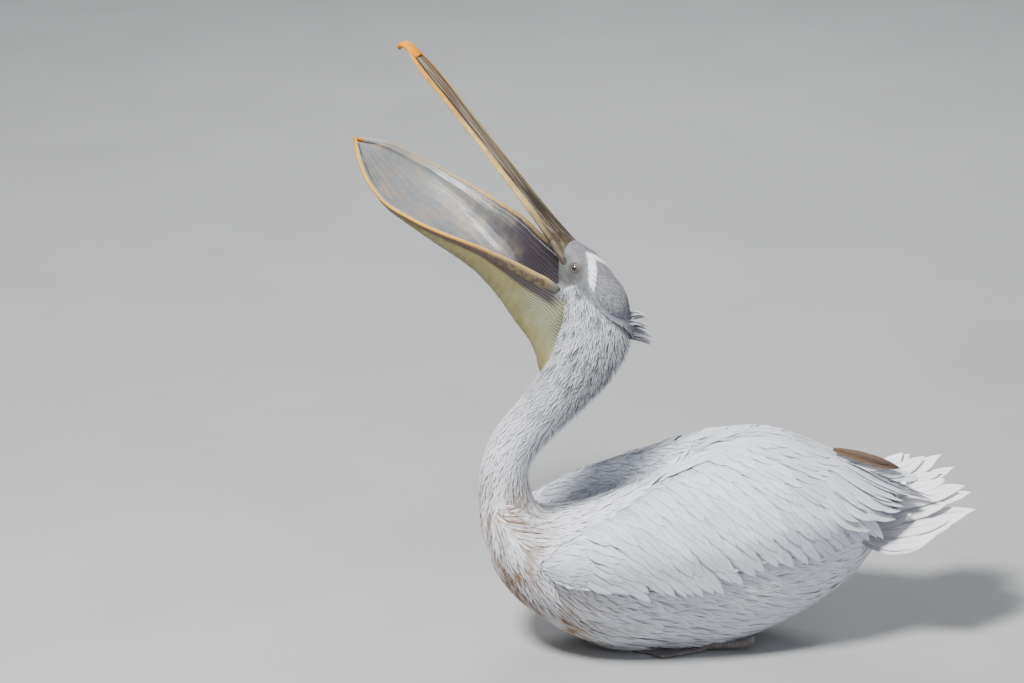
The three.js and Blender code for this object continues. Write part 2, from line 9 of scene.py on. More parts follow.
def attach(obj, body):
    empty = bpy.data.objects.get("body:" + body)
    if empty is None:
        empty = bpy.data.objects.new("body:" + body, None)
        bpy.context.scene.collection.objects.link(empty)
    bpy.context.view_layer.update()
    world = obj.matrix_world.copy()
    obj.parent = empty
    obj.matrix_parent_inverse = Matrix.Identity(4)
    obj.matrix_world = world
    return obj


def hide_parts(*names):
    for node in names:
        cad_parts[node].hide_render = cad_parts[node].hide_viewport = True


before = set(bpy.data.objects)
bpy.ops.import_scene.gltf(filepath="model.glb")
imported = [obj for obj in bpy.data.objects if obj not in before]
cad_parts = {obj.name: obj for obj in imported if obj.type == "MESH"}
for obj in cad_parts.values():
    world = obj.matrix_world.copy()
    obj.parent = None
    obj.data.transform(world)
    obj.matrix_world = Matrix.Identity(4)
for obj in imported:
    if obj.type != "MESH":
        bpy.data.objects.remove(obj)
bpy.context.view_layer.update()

rng = np.random.default_rng(20)
MM = 0.001


# ------------------------------------------------------------------ helpers
def mix(a, b, t):
    return a + (b - a) * t


def clamp(x, a, b):
    return min(b, max(a, x))


def smooth(a, b, x):
    t = np.clip((np.asarray(x, float) - a) / (b - a), 0, 1)
    return t * t * (3 - 2 * t)


def unit(v):
    v = np.asarray(v, float)
    n = np.linalg.norm(v, axis=-1, keepdims=True)
    return v / np.where(n < 1e-12, 1, n)


def table(xs, ys):
    """Shape-preserving cubic through a short table of stations."""
    xs, ys = np.array(xs, float), np.array(ys, float)
    h = np.diff(xs)
    d = np.diff(ys) / h
    m = np.zeros(len(xs))
    m[0], m[-1] = d[0], d[-1]
    for i in range(1, len(xs) - 1):
        if d[i - 1] * d[i] > 0:
            a, b = 2 * h[i] + h[i - 1], h[i] + 2 * h[i - 1]
            m[i] = (a + b) / (a / d[i - 1] + b / d[i])

    def f(x):
        x = np.clip(x, xs[0], xs[-1])
        i = np.clip(np.searchsorted(xs, x, side="right") - 1, 0, len(xs) - 2)
        t = (x - xs[i]) / h[i]
        t2, t3 = t * t, t * t * t
        return (
            (2 * t3 - 3 * t2 + 1) * ys[i]
            + (t3 - 2 * t2 + t) * h[i] * m[i]
            + (-2 * t3 + 3 * t2) * ys[i + 1]
            + (t3 - t2) * h[i] * m[i + 1]
        )

    return f


class Curve:
    """Centripetal Catmull-Rom through a few points."""

    def __init__(self, points):
        self.p = np.array(points, float)

    def at(self, t):
        p, n = self.p, len(self.p)
        x = (n - 1) * clamp(t, 0, 1)
        i = int(math.floor(x))
        w = x - i
        if i >= n - 1:
            i, w = n - 2, 1.0
        p0 = p[i - 1] if i > 0 else 2 * p[0] - p[1]
        p1, p2 = p[i], p[i + 1]
        p3 = p[i + 2] if i + 2 < n else 2 * p[-1] - p[-2]
        d0 = max(np.sum((p0 - p1) ** 2) ** 0.25, 1e-4)
        d1 = max(np.sum((p1 - p2) ** 2) ** 0.25, 1e-4)
        d2 = max(np.sum((p2 - p3) ** 2) ** 0.25, 1e-4)
        t1 = ((p1 - p0) / d0 - (p2 - p0) / (d0 + d1) + (p2 - p1) / d1) * d1
        t2 = ((p2 - p1) / d1 - (p3 - p1) / (d1 + d2) + (p3 - p2) / d2) * d1
        return p1 + t1 * w + (-3 * p1 + 3 * p2 - 2 * t1 - t2) * w * w + (2 * p1 - 2 * p2 + t1 + t2) * w**3

    def tangent(self, t):
        a, b = max(0, t - 1e-4), min(1, t + 1e-4)
        return unit(self.at(b) - self.at(a))


# ------------------------------------------------------------------ the same sizes as the solids (mm)
rad = math.pi / 180
HEAD = dict(centre=(-181.7, 20, 651.2), elevation=47.8, yaw=31.6, roll=13.5)
BILL = dict(base=22, upper=420, gape=23.5, jaw=439, hinge=(-13.5, 0, -50.6))
EYE = dict(radius=9.5, along=0, side=24.5, up=8)

F = np.array(
    [
        -math.cos(HEAD["elevation"] * rad) * math.cos(HEAD["yaw"] * rad),
        math.cos(HEAD["elevation"] * rad) * math.sin(HEAD["yaw"] * rad),
        math.sin(HEAD["elevation"] * rad),
    ]
)
_level = unit(np.cross([0, 0, 1], F))
_up = np.cross(F, _level)
N = _up * math.cos(HEAD["roll"] * rad) + _level * math.sin(HEAD["roll"] * rad)
S = np.cross(N, F)
HC = np.array(HEAD["centre"])


def head_point(a, s, h):
    return HC + a * F + s * S + h * N


JF = F * math.cos(BILL["gape"] * rad) - N * math.sin(BILL["gape"] * rad)
JU = N * math.cos(BILL["gape"] * rad) + F * math.sin(BILL["gape"] * rad)
HINGE = head_point(*BILL["hinge"])


def jaw_point(a, s, h):
    return HINGE + a * JF + s * S + h * JU


# trunk
trunk_top = table(
    [-353, -346, -330, -300, -262, -225, -185, -150, -100, -50, 0, 40, 70, 110, 160, 200, 250, 290, 322],
    [250, 274, 280, 268, 246, 234, 236, 246, 264, 284, 308, 326, 336, 340, 326, 304, 268, 234, 206],
)
trunk_bottom = table(
    [-353, -349, -340, -320, -288, -244, -200, -150, -110, 40, 100, 164, 212, 268, 300, 322],
    [236, 206, 164, 121, 82, 47, 20, 1, -6, -6, 7, 34, 60, 101, 138, 180],
)
trunk_half = table(
    [-353, -347, -334, -310, -275, -230, -180, -120, -40, 60, 130, 190, 240, 280, 305, 322],
    [0, 44, 72, 96, 116, 131, 140, 145, 146, 145, 136, 118, 94, 68, 46, 24],
)
trunk_waist = table([-353, -300, -200, 0, 150, 268, 322], [238, 204, 158, 150, 166, 186, 196])


def trunk_at(u, v):
    ease = 0.5 - 0.5 * math.cos(math.pi * v)
    x = mix(-353, 322, mix(v, ease, 0.8))
    if v in (0, 1):
        return (x, 0, float(trunk_waist(x)))
    c, s = math.cos(u * 2 * math.pi), math.sin(u * 2 * math.pi)
    zc = float(trunk_waist(x))
    top, low = float(trunk_top(x)) - zc, zc - float(trunk_bottom(x))
    z = zc + (s**0.92 * top if s > 0 else s * low)
    return (x, c * float(trunk_half(x)), max(z, 0.6))


# neck
NECK = Curve(
    [
        (-262, 0, 168), (-289, 0, 204), (-304, 0, 242), (-309, 0, 282), (-306, 0, 322), (-289, 0, 362), (-259, 0, 398),
        (-229, 0, 431), (-200, 0, 467), (-174, 0, 508), (-158, 2, 552), (-162, 9, 598), (-178, 15, 634),
    ]
)
neck_side = table([0, 0.1, 0.2, 0.32, 0.46, 0.58, 0.7, 0.8, 0.9, 1], [66, 60, 50, 43, 41, 42, 44, 42, 36, 26])
neck_deep = table([0, 0.1, 0.2, 0.32, 0.46, 0.58, 0.7, 0.8, 0.9, 1], [66, 58, 48, 42, 41, 45, 54, 59, 56, 34])


def neck_at(u, v):
    p, t = NECK.at(v), NECK.tangent(v)
    deep = unit(np.cross(t, (0, -1, 0)))
    side = unit(np.cross(deep, t))
    cap = 0 if v in (0, 1) else 1
    a = u * 2 * math.pi
    return tuple(p + side * cap * math.cos(a) * float(neck_side(v)) + deep * cap * math.sin(a) * float(neck_deep(v)))


# head
_hx = [-112, -104, -84, -55, -25, 0, 18, 32, 42]
head_side = table(_hx, [0, 16, 28, 33, 33, 30, 26.5, 23, 15])
head_top = table(_hx, [4, 15, 26, 31, 32, 29, 23.5, 18, 11])
head_low = table(_hx, [8, 28, 50, 62, 64, 58, 40, 22, 10])


def head_at(u, v):
    a = mix(-112, 42, mix(v, 0.5 - 0.5 * math.cos(math.pi * v), 0.6))
    if v in (0, 1):
        return tuple(head_point(a, 0, 0))
    t = u * 2 * math.pi
    s = math.sin(t)
    h = float(head_top(a) if s > 0 else head_low(a))
    return tuple(head_point(a, math.cos(t) * float(head_side(a)), s * h))


# wings
WING = dict(front=-270, hand=296, rear=396)
wx = [-270, -264, -254, -240, -215, -172, -130, -90, -50, 0, 40, 110, 150, 200, 250, 300, 350, 398]
wing_ridge_y = table(wx, [136, 132, 127, 122, 120, 112, 98, 78, 55, 33, 20, 11, 9, 9, 13, 20, 30, 46])
wing_ridge_z = table(wx, [192, 204, 216, 228, 243, 264, 283, 301, 318, 337, 348, 353, 345, 323, 299, 276, 256, 238])
wing_bulge_y = table(wx, [138, 143, 147, 150, 155, 160, 162, 163, 163, 161, 158, 151, 144, 130, 109, 86, 64, 48])
wing_bulge_z = table(wx, [190, 190, 190, 191, 193, 199, 205, 211, 217, 225, 231, 240, 243, 244, 244, 242, 238, 234])
wing_edge_y = table(wx, [136, 139, 142, 145, 148, 152, 155, 157, 158, 157, 155, 149, 144, 131, 111, 89, 66, 48])
wing_edge_z = table(wx, [187, 176, 166, 157, 148, 146, 148, 150, 155, 161, 170, 187, 195, 204, 214, 221, 226, 231])
wing_core_y = table(wx, [112, 106, 98, 90, 84, 77, 70, 64, 58, 54, 52, 50, 50, 50, 48, 46, 46, 46])
wing_core_z = table(wx, [186, 186, 187, 188, 189, 192, 197, 202, 206, 210, 212, 214, 214, 214, 216, 220, 224, 232])
wing_depth = table(wx, [0.9, 0.86, 0.8, 0.72, 0.64, 0.56, 0.52, 0.5, 0.5, 0.5, 0.5, 0.5, 0.5, 0.5, 0.46, 0.4, 0.4, 0.4])
_wing_lines = {}


def wing_line(x, q):
    key = round(x, 3)
    if key not in _wing_lines:
        ry, rz = float(wing_ridge_y(x)), float(wing_ridge_z(x))
        by, bz = float(wing_bulge_y(x)), float(wing_bulge_z(x))
        ey, ez = float(wing_edge_y(x)), float(wing_edge_z(x))
        drop = mix(34, 14, float(smooth(-40, 90, x))) * float(smooth(-270, -235, x))
        inner = (x, ry - mix(17, 9, float(smooth(-60, 60, x))), rz - drop)
        _wing_lines[key] = Curve(
            [inner, (x, ry, rz), (x, mix(ry, by, 0.62), mix(rz, bz, 0.3)), (x, by, bz), (x, ey, ez)]
        )
    return _wing_lines[key].at(q)


def wing_at(u, v, side):
    x = mix(-270, 330, 0.93 * (1 - (1 - v) ** 1.1) * v**0.65 + 0.07 * v)
    if v == 0:
        return (x, side * float(wing_bulge_y(x)), float(wing_bulge_z(x)))
    if v == 1:
        return (x, side * 70, 240)
    cy, cz, k = float(wing_core_y(x)), float(wing_core_z(x)), float(wing_depth(x))
    outer = u <= 0.6
    q = u / 0.6 if outer else 1 - (u - 0.6) / 0.4
    p = wing_line(x, q)
    thin = 0 if outer else k * math.sin(math.pi * clamp(q * 0.96 + 0.02, 0.02, 0.98)) ** 0.55
    return (x, side * mix(p[1], cy, thin), mix(p[2], cz, thin))


# ------------------------------------------------------------------ meshes
def loft(fn, nu, nv, scale=MM):
    """Closed grid: pole, nv-1 rings of nu points, pole. Returns verts, quads/tris and (u, v) of each face."""
    verts = [fn(0, 0)]
    for j in range(1, nv):
        for i in range(nu):
            verts.append(fn(i / nu, j / nv))
    verts.append(fn(0, 1))
    last = len(verts) - 1
    ring = lambda j, i: 1 + (j - 1) * nu + i % nu
    faces, uv = [], []
    for i in range(nu):
        faces.append((0, ring(1, i + 1), ring(1, i)))
        uv.append(((i + 0.5) / nu, 0.5 / nv))
    for j in range(1, nv - 1):
        for i in range(nu):
            faces.append((ring(j, i), ring(j, i + 1), ring(j + 1, i + 1), ring(j + 1, i)))
            uv.append(((i + 0.5) / nu, (j + 0.5) / nv))
    for i in range(nu):
        faces.append((last, ring(nv - 1, i), ring(nv - 1, i + 1)))
        uv.append(((i + 0.5) / nu, 1 - 0.5 / nv))
    return np.array(verts, float) * scale, faces, np.array(uv)


def outward(verts, faces):
    """Turns the faces round if the closed mesh is inside out."""
    vol = 0.0
    for f in faces:
        a, b, c = verts[f[0]], verts[f[1]], verts[f[2]]
        vol += np.dot(a, np.cross(b, c))
        if len(f) == 4:
            vol += np.dot(verts[f[0]], np.cross(verts[f[2]], verts[f[3]]))
    return faces if vol > 0 else [tuple(reversed(f)) for f in faces]


def new_object(name, verts, faces, smooth_shade=True):
    me = bpy.data.meshes.new(name)
    me.from_pydata([tuple(v) for v in verts], [], [tuple(f) for f in faces])
    me.update()
    if smooth_shade:
        me.shade_smooth()
    ob = bpy.data.objects.new(name, me)
    bpy.context.collection.objects.link(ob)
    return ob


def fast_mesh(name, verts, tris, smooth_shade=True, crease=1.1):
    """Mesh from numpy arrays of vertices and triangles."""
    me = bpy.data.meshes.new(name)
    me.vertices.add(len(verts))
    me.vertices.foreach_set("co", np.ascontiguousarray(verts, np.float32).ravel())
    me.loops.add(len(tris) * 3)
    me.loops.foreach_set("vertex_index", np.ascontiguousarray(tris, np.int32).ravel())
    me.polygons.add(len(tris))
    me.polygons.foreach_set("loop_start", np.arange(0, len(tris) * 3, 3, dtype=np.int32))
    me.polygons.foreach_set("loop_total", np.full(len(tris), 3, np.int32))
    me.update(calc_edges=True)
    me.validate()
    if smooth_shade:
        me.shade_smooth()
        me.set_sharp_from_angle(angle=crease)
    ob = bpy.data.objects.new(name, me)
    bpy.context.collection.objects.link(ob)
    return ob


def set_colour(ob, rgb, name="tint"):
    """rgb per vertex, linear."""
    me = ob.data
    at = me.color_attributes.new(name, "FLOAT_COLOR", "POINT")
    c = np.ones((len(me.vertices), 4), np.float32)
    c[:, :3] = rgb
    at.data.foreach_set("color", c.ravel())


def set_uv(ob, per_vertex, name):
    me = ob.data
    uv = me.uv_layers.new(name=name)
    idx = np.zeros(len(me.loops), np.int32)
    me.loops.foreach_get("vertex_index", idx)
    uv.data.foreach_set("uv", np.ascontiguousarray(per_vertex[idx], np.float32).ravel())


def verts_of(ob):
    a = np.zeros(len(ob.data.vertices) * 3, np.float32)
    ob.data.vertices.foreach_get("co", a)
    return a.reshape(-1, 3).astype(float)


def lin(r, g, b):
    """sRGB 0-255 to linear."""
    c = np.array([r, g, b], float) / 255
    return np.where(c <= 0.04045, c / 12.92, ((c + 0.055) / 1.055) ** 2.4)


def blend_cols(a, b, t):
    t = np.asarray(t, float)[..., None]
    return a * (1 - t) + b * t


# cheap smooth noise for markings: a few random waves
_waves = [(rng.normal(size=3), rng.uniform(0, 6.28)) for _ in range(24)]


def wavy(p, scale):
    """-1..1 at points p in metres; scale in metres."""
    p = np.asarray(p, float) / scale
    out = 0
    for k, (d, ph) in enumerate(_waves):
        out = out + np.sin(p @ (d * (0.7 + 0.12 * (k % 8))) + ph + 1.7 * np.sin(p @ _waves[(k + 7) % 24][0] * 0.6))
    return np.clip(out / 8.0, -1, 1)

# ------------------------------------------------------------------ materials
def nodes_of(name):
    m = bpy.data.materials.new(name)
    m.use_nodes = True
    nt = m.node_tree
    nt.nodes.clear()
    out = nt.nodes.new("ShaderNodeOutputMaterial")
    b = nt.nodes.new("ShaderNodeBsdfPrincipled")
    nt.links.new(b.outputs[0], out.inputs[0])
    return m, nt, b


def add(nt, kind, **props):
    n = nt.nodes.new(kind)
    for k, v in props.items():
        setattr(n, k, v)
    return n


def ramp(nt, src, stops):
    r = nt.nodes.new("ShaderNodeValToRGB")
    r.color_ramp.elements[0].position = stops[0][0]
    r.color_ramp.elements[0].color = (*stops[0][1], 1)
    r.color_ramp.elements[1].position = stops[-1][0]
    r.color_ramp.elements[1].color = (*stops[-1][1], 1)
    for p, c in stops[1:-1]:
        e = r.color_ramp.elements.new(p)
        e.color = (*c, 1)
    nt.links.new(src, r.inputs[0])
    return r.outputs[0]


def multiply(nt, a, b, fac=1.0, kind="MULTIPLY"):
    m = nt.nodes.new("ShaderNodeMix")
    m.data_type = "RGBA"
    m.blend_type = kind
    m.inputs[0].default_value = fac
    nt.links.new(a, m.inputs[6])
    nt.links.new(b, m.inputs[7])
    return m.outputs[2]


def tinted(name, rough=0.8, spec=0.25, sheen=0.0, coat=0.0, noise=None, noise_range=(0.86, 1.1), bump=0.15, vane=False, axes=None, stretch=(1, 1, 1), subsurface=0.0, shaft=0.6, rim=0.8, ribs=None):
    """A material that takes its markings and painted shade from the tint attribute and breaks them up with fine noise;
    vanes add painted shade at their roots and edges, ribs in their grooves.
    """
    m, nt, b = nodes_of(name)
    at = add(nt, "ShaderNodeVertexColor", layer_name="tint")
    tc = add(nt, "ShaderNodeTexCoord")
    mp = add(nt, "ShaderNodeMapping", vector_type="TEXTURE")
    mp.inputs["Scale"].default_value = stretch
    if axes is not None:
        mp.inputs["Rotation"].default_value = Matrix([list(a) for a in axes]).transposed().to_euler()
    nt.links.new(tc.outputs["Object"], mp.inputs["Vector"])
    nz = add(nt, "ShaderNodeTexNoise")
    nz.inputs["Scale"].default_value = noise or 160
    nz.inputs["Detail"].default_value = 5
    nz.inputs["Roughness"].default_value = 0.62
    nt.links.new(mp.outputs[0], nz.inputs["Vector"])
    lo, hi = noise_range
    grey = ramp(nt, nz.outputs["Fac"], [(0.3, (lo,) * 3), (0.7, (hi,) * 3)])
    col = multiply(nt, at.outputs["Color"], grey)
    height = nz.outputs["Fac"]
    if vane:
        uv = add(nt, "ShaderNodeUVMap", uv_map="vane")
        sep = add(nt, "ShaderNodeSeparateXYZ")
        nt.links.new(uv.outputs[0], sep.inputs[0])
        # barbs run slantwise off the shaft: distance from the middle plus the way along
        off = add(nt, "ShaderNodeMath", operation="SUBTRACT")
        off.inputs[1].default_value = 0.5
        nt.links.new(sep.outputs[0], off.inputs[0])
        ab = add(nt, "ShaderNodeMath", operation="ABSOLUTE")
        nt.links.new(off.outputs[0], ab.inputs[0])
        k = add(nt, "ShaderNodeMath", operation="MULTIPLY_ADD")
        k.inputs[1].default_value = -0.35
        nt.links.new(ab.outputs[0], k.inputs[0])
        nt.links.new(sep.outputs[1], k.inputs[2])
        s1 = add(nt, "ShaderNodeMath", operation="MULTIPLY")
        s1.inputs[1].default_value = 330
        nt.links.new(k.outputs[0], s1.inputs[0])
        wav = add(nt, "ShaderNodeMath", operation="SINE")
        nt.links.new(s1.outputs[0], wav.inputs[0])
        barb = ramp(nt, wav.outputs[0], [(0.0, (0.93,) * 3), (1.0, (1.03,) * 3)])
        col = multiply(nt, col, barb)
        # thin dark shaft
        sh = ramp(nt, ab.outputs[0], [(0.0, (0.5,) * 3), (0.03, (0.55,) * 3), (0.055, (1.0,) * 3), (1.0, (1.0,) * 3)])
        col = multiply(nt, col, sh, shaft)
        # darker at the vane's edges, as dark as rim: painted shade between neighbouring feathers
        edge = ramp(nt, ab.outputs[0], [(0.0, (1.0,) * 3), (0.36, (1.0,) * 3), (0.5, (rim,) * 3)])
        col = multiply(nt, col, edge)
        # darker towards the root: painted shade under the overlapping feathers
        along = ramp(nt, sep.outputs[1], [(0.0, (0.78,) * 3), (0.45, (0.95,) * 3), (1.0, (1.05,) * 3)])
        col = multiply(nt, col, along)
    # ribs: lines darker in the grooves that the bump sinks, painted shade in the wrinkles
    if ribs:
        count, low, high, wander = ribs
        uv = add(nt, "ShaderNodeUVMap", uv_map="lie")
        sep = add(nt, "ShaderNodeSeparateXYZ")
        nt.links.new(uv.outputs[0], sep.inputs[0])
        wob = add(nt, "ShaderNodeTexNoise")
        wob.inputs["Scale"].default_value = 60
        wob.inputs["Detail"].default_value = 3
        nt.links.new(tc.outputs["Object"], wob.inputs["Vector"])
        k1 = add(nt, "ShaderNodeMath", operation="MULTIPLY")
        k1.inputs[1].default_value = count * 2 * math.pi
        nt.links.new(sep.outputs[0], k1.inputs[0])
        k2 = add(nt, "ShaderNodeMath", operation="MULTIPLY_ADD")
        k2.inputs[1].default_value = wander
        nt.links.new(wob.outputs["Fac"], k2.inputs[0])
        nt.links.new(k1.outputs[0], k2.inputs[2])
        sn = add(nt, "ShaderNodeMath", operation="SINE")
        nt.links.new(k2.outputs[0], sn.inputs[0])
        half = add(nt, "ShaderNodeMath", operation="MULTIPLY_ADD")
        half.inputs[1].default_value = 0.5
        half.inputs[2].default_value = 0.5
        nt.links.new(sn.outputs[0], half.inputs[0])
        col = multiply(nt, col, ramp(nt, half.outputs[0], [(0.0, (low,) * 3), (0.45, ((low + high) / 2,) * 3), (1.0, (high,) * 3)]))
        both = add(nt, "ShaderNodeMath", operation="MULTIPLY_ADD")
        both.inputs[1].default_value = 0.8
        nt.links.new(half.outputs[0], both.inputs[0])
        nt.links.new(height, both.inputs[2])
        height = both.outputs[0]
    nt.links.new(col, b.inputs["Base Color"])
    bp = add(nt, "ShaderNodeBump")
    bp.inputs["Strength"].default_value = bump
    bp.inputs["Distance"].default_value = 0.001
    nt.links.new(height, bp.inputs["Height"])
    nt.links.new(bp.outputs[0], b.inputs["Normal"])
    b.inputs["Roughness"].default_value = rough
    b.inputs["Specular IOR Level"].default_value = spec
    b.inputs["Sheen Weight"].default_value = sheen
    b.inputs["Coat Weight"].default_value = coat
    b.inputs["Coat Roughness"].default_value = 0.15
    if subsurface:
        b.inputs["Subsurface Weight"].default_value = subsurface
        b.inputs["Subsurface Radius"].default_value = (0.006, 0.004, 0.003)
        b.inputs["Subsurface Scale"].default_value = 0.5
    return m


MAT_FEATHER = tinted("feather_soft", rough=0.75, spec=0.2, sheen=0.25, noise=420, noise_range=(0.9, 1.06), bump=0.1)
# rim: how dark the painted shade along each vane's edges is
MAT_VANE = tinted("feather_vane", rough=0.62, spec=0.3, sheen=0.15, noise=260, noise_range=(0.94, 1.04), bump=0.08, vane=True, shaft=0.6, rim=0.72)
MAT_COVERT = tinted("feather_covert", rough=0.7, spec=0.22, sheen=0.2, noise=300, noise_range=(0.94, 1.03), bump=0.08, vane=True, shaft=0.36, rim=0.62)
MAT_SKIN = tinted("bare_skin", rough=0.6, spec=0.35, noise=300, noise_range=(0.8, 1.12), bump=0.35)
MAT_HORN = tinted("bill_horn", rough=0.48, spec=0.32, coat=0.04, noise=330, noise_range=(0.6, 1.35), bump=0.4, axes=(F, S, N), stretch=(16, 1, 1))
MAT_JAW = tinted("jaw_horn", rough=0.5, spec=0.32, coat=0.04, noise=300, noise_range=(0.8, 1.15), bump=0.3, axes=(JF, S, JU), stretch=(6, 1, 1))
MAT_NAIL = tinted("nail_horn", rough=0.5, spec=0.15, coat=0.0, noise=220, noise_range=(0.85, 1.1), bump=0.15)
MAT_POUCH = tinted("pouch_skin", rough=0.5, spec=0.4, noise=520, noise_range=(0.82, 1.12), bump=0.55, subsurface=0.08, ribs=(84, 0.58, 1.1, 9.0))
MAT_LINING = tinted("pouch_lining", rough=0.42, spec=0.45, coat=0.1, noise=380, noise_range=(0.86, 1.1), bump=0.4, subsurface=0.08, ribs=(64, 0.9, 1.04, 7.0))
MAT_FOOT = tinted("foot_skin", rough=0.55, spec=0.4, noise=500, noise_range=(0.7, 1.2), bump=0.6)
MAT_EYE = tinted("eye_wet", rough=0.08, spec=0.6, coat=1.0, noise=900, noise_range=(0.85, 1.15), bump=0.0)
MAT_EYE.node_tree.nodes["Principled BSDF"].inputs["Coat Roughness"].default_value = 0.02

# ------------------------------------------------------------------ the flesh under the plumage
q = 1


def cheek_at(u, v, side):
    th, ph = math.pi * v, 2 * math.pi * u
    a = math.cos(th) * 22
    r = math.sin(th)
    return tuple(jaw_point(-6 - a, side * (26.5 + 11.5 * r * math.cos(ph)), -1 + 15.5 * r * math.sin(ph)))


GRIDS = {
    "trunk": loft(trunk_at, int(88 * q), int(84 * q)),
    "neck": loft(neck_at, int(56 * q), int(96 * q)),
    "head": loft(head_at, int(64 * q), int(56 * q)),
    "wing_left": loft(lambda u, v: wing_at(u, v, -1), int(100 * q), int(84 * q)),
    "wing_right": loft(lambda u, v: wing_at(u, v, 1), int(100 * q), int(84 * q)),
    "cheek_left": loft(lambda u, v: cheek_at(u, v, 1), 24, 20),
    "cheek_right": loft(lambda u, v: cheek_at(u, v, -1), 24, 20),
}
TREES = {}
allv, allf, base = [], [], 0
for name, (v, f, uv) in GRIDS.items():
    f = outward(v, f)
    GRIDS[name] = (v, f, uv)
    TREES[name] = BVHTree.FromPolygons([Vector(x) for x in v], f)
    allv.append(v)
    allf += [tuple(i + base for i in face) for face in f]
    base += len(v)
REGIONS = list(GRIDS)

raw = new_object("raw_flesh", np.concatenate(allv), allf)
mod = raw.modifiers.new("join", "REMESH")
mod.mode = "VOXEL"
mod.voxel_size = 0.0034
mod = raw.modifiers.new("soften", "SMOOTH")
mod.factor = 0.5
mod.iterations = 4
deps = bpy.context.evaluated_depsgraph_get()
skin_me = bpy.data.meshes.new_from_object(raw.evaluated_get(deps))
bpy.data.objects.remove(raw)
skin = bpy.data.objects.new("skin", skin_me)
bpy.context.collection.objects.link(skin)
for m in list(skin_me.color_attributes):
    skin_me.color_attributes.remove(m)


def classify(points, reach=0.02):
    """Nearest loft of each point: region index and that loft's (u, v)."""
    reg = np.zeros(len(points), int)
    uv = np.zeros((len(points), 2))
    for i, p in enumerate(points):
        best, p = 1e9, Vector(p)
        for k, name in enumerate(REGIONS):
            hit = TREES[name].find_nearest(p, reach)
            if hit[0] is not None and hit[3] < best:
                best = hit[3]
                reg[i] = k
                uv[i] = GRIDS[name][2][hit[2]]
    # the cheeks belong to the head
    return np.where(reg >= 5, 2, reg), uv


DEPTH = {"trunk": 0.0075, "neck": 0.0055, "head": 0.0016, "wing_left": 0.0062, "wing_right": 0.0062}
sv = verts_of(skin)
skin_reg, skin_uv = classify(sv)
nrm = np.zeros(len(sv) * 3, np.float32)
skin_me.vertices.foreach_get("normal", nrm)
nrm = nrm.reshape(-1, 3).astype(float)
depth = np.array([DEPTH[REGIONS[r]] for r in skin_reg])
# even the depth out over neighbours, so that no step shows between two parts
edges = np.zeros(len(skin_me.edges) * 2, np.int32)
skin_me.edges.foreach_get("vertices", edges)
edges = edges.reshape(-1, 2)


def relax(values, rounds):
    values = values.copy()
    count = np.bincount(edges.ravel(), minlength=len(values)).astype(float)
    for _ in range(rounds):
        acc = np.bincount(edges[:, 0], values[edges[:, 1]], len(values)) + np.bincount(edges[:, 1], values[edges[:, 0]], len(values))
        values = 0.4 * values + 0.6 * acc / np.maximum(count, 1)
    return values


depth = relax(depth, 14)
bottom = sv[:, 2] < 0.012
depth = depth * np.where(bottom, 0.25, 1)
sv2 = sv - nrm * depth[:, None]
for c in range(3):
    moved = relax(sv2[:, c] - sv[:, c], 2)
    sv2[:, c] = sv[:, c] + moved
sv2[:, 2] = np.maximum(sv2[:, 2], 0.0012)
# the skin swells into a low mound round each eye, and is hollow behind the eyeball
EYE_AT = dict(along=0, side=22.0, up=5.8)
EYES = []
for side in (1, -1):
    centre = head_point(EYE_AT["along"], side * EYE_AT["side"], EYE_AT["up"]) * MM
    gaze = unit(S * side * 0.93 + N * 0.34 + F * 0.10)
    EYES.append((side, centre, gaze))
    d = sv2 - centre
    z = d @ gaze
    flat = d - z[:, None] * gaze
    rho = np.linalg.norm(flat, axis=1)
    near = (rho < 0.026) & (z > -0.012) & (z < 0.016)
    mound = np.interp(rho / MM, [0, 5.0, 6.4, 7.4, 9, 12, 16, 26], [2.0, 3.0, 6.4, 7.2, 6.9, 5.6, 3.6, 0.0]) * MM
    w_ = 1 - smooth(0.012, 0.025, rho)
    newz = np.where(rho < 0.009, mound, np.maximum(mound, z) * w_ + z * (1 - w_))
    sv2 = np.where(near[:, None], sv2 + gaze * (newz - z)[:, None], sv2)
skin_me.vertices.foreach_set("co", sv2.astype(np.float32).ravel())
skin_me.update()
skin_me.shade_smooth()
bpy.context.view_layer.update()

# ------------------------------------------------------------------ markings and some painted shade, shared by skin and plumage
EYE_L, EYE_R = EYES[0][1], EYES[1][1]
_tv = np.linspace(0, 1, 240)
_tan = np.array([NECK.tangent(t) for t in _tv])


def head_coords(p):
    d = p / MM - HC
    return d @ F, d @ S, d @ N


def face_bare(p):
    """1 on the naked skin of the face: round the eyes and down to the gape."""
    a, s, h = head_coords(p)
    side = np.abs(s)
    e = np.sqrt((a - EYE["along"] - 2) ** 2 / 1.5 + (h - EYE["up"] + 3) ** 2)
    round_eye = smooth(21, 15, e) * (side > 10)
    lore = smooth(-8, 4, a) * smooth(20, 12, h + 0.1 * a) * (side > 6)
    jaw = smooth(-24, -12, a + 0.25 * (h + 30)) * smooth(-2, -10, h) * smooth(-62, -50, h)
    return np.clip(np.maximum(round_eye, np.maximum(lore, jaw)), 0, 1)


def nape(p):
    """1 on the smooth grey sheet that runs from the crown down the back of the neck to the crest."""
    x, z = p[:, 0] / MM, p[:, 2] / MM
    return smooth(-3, 4, 0.707 * (x + z - 428)) * smooth(508, 518, z) * smooth(-250, -225, x)


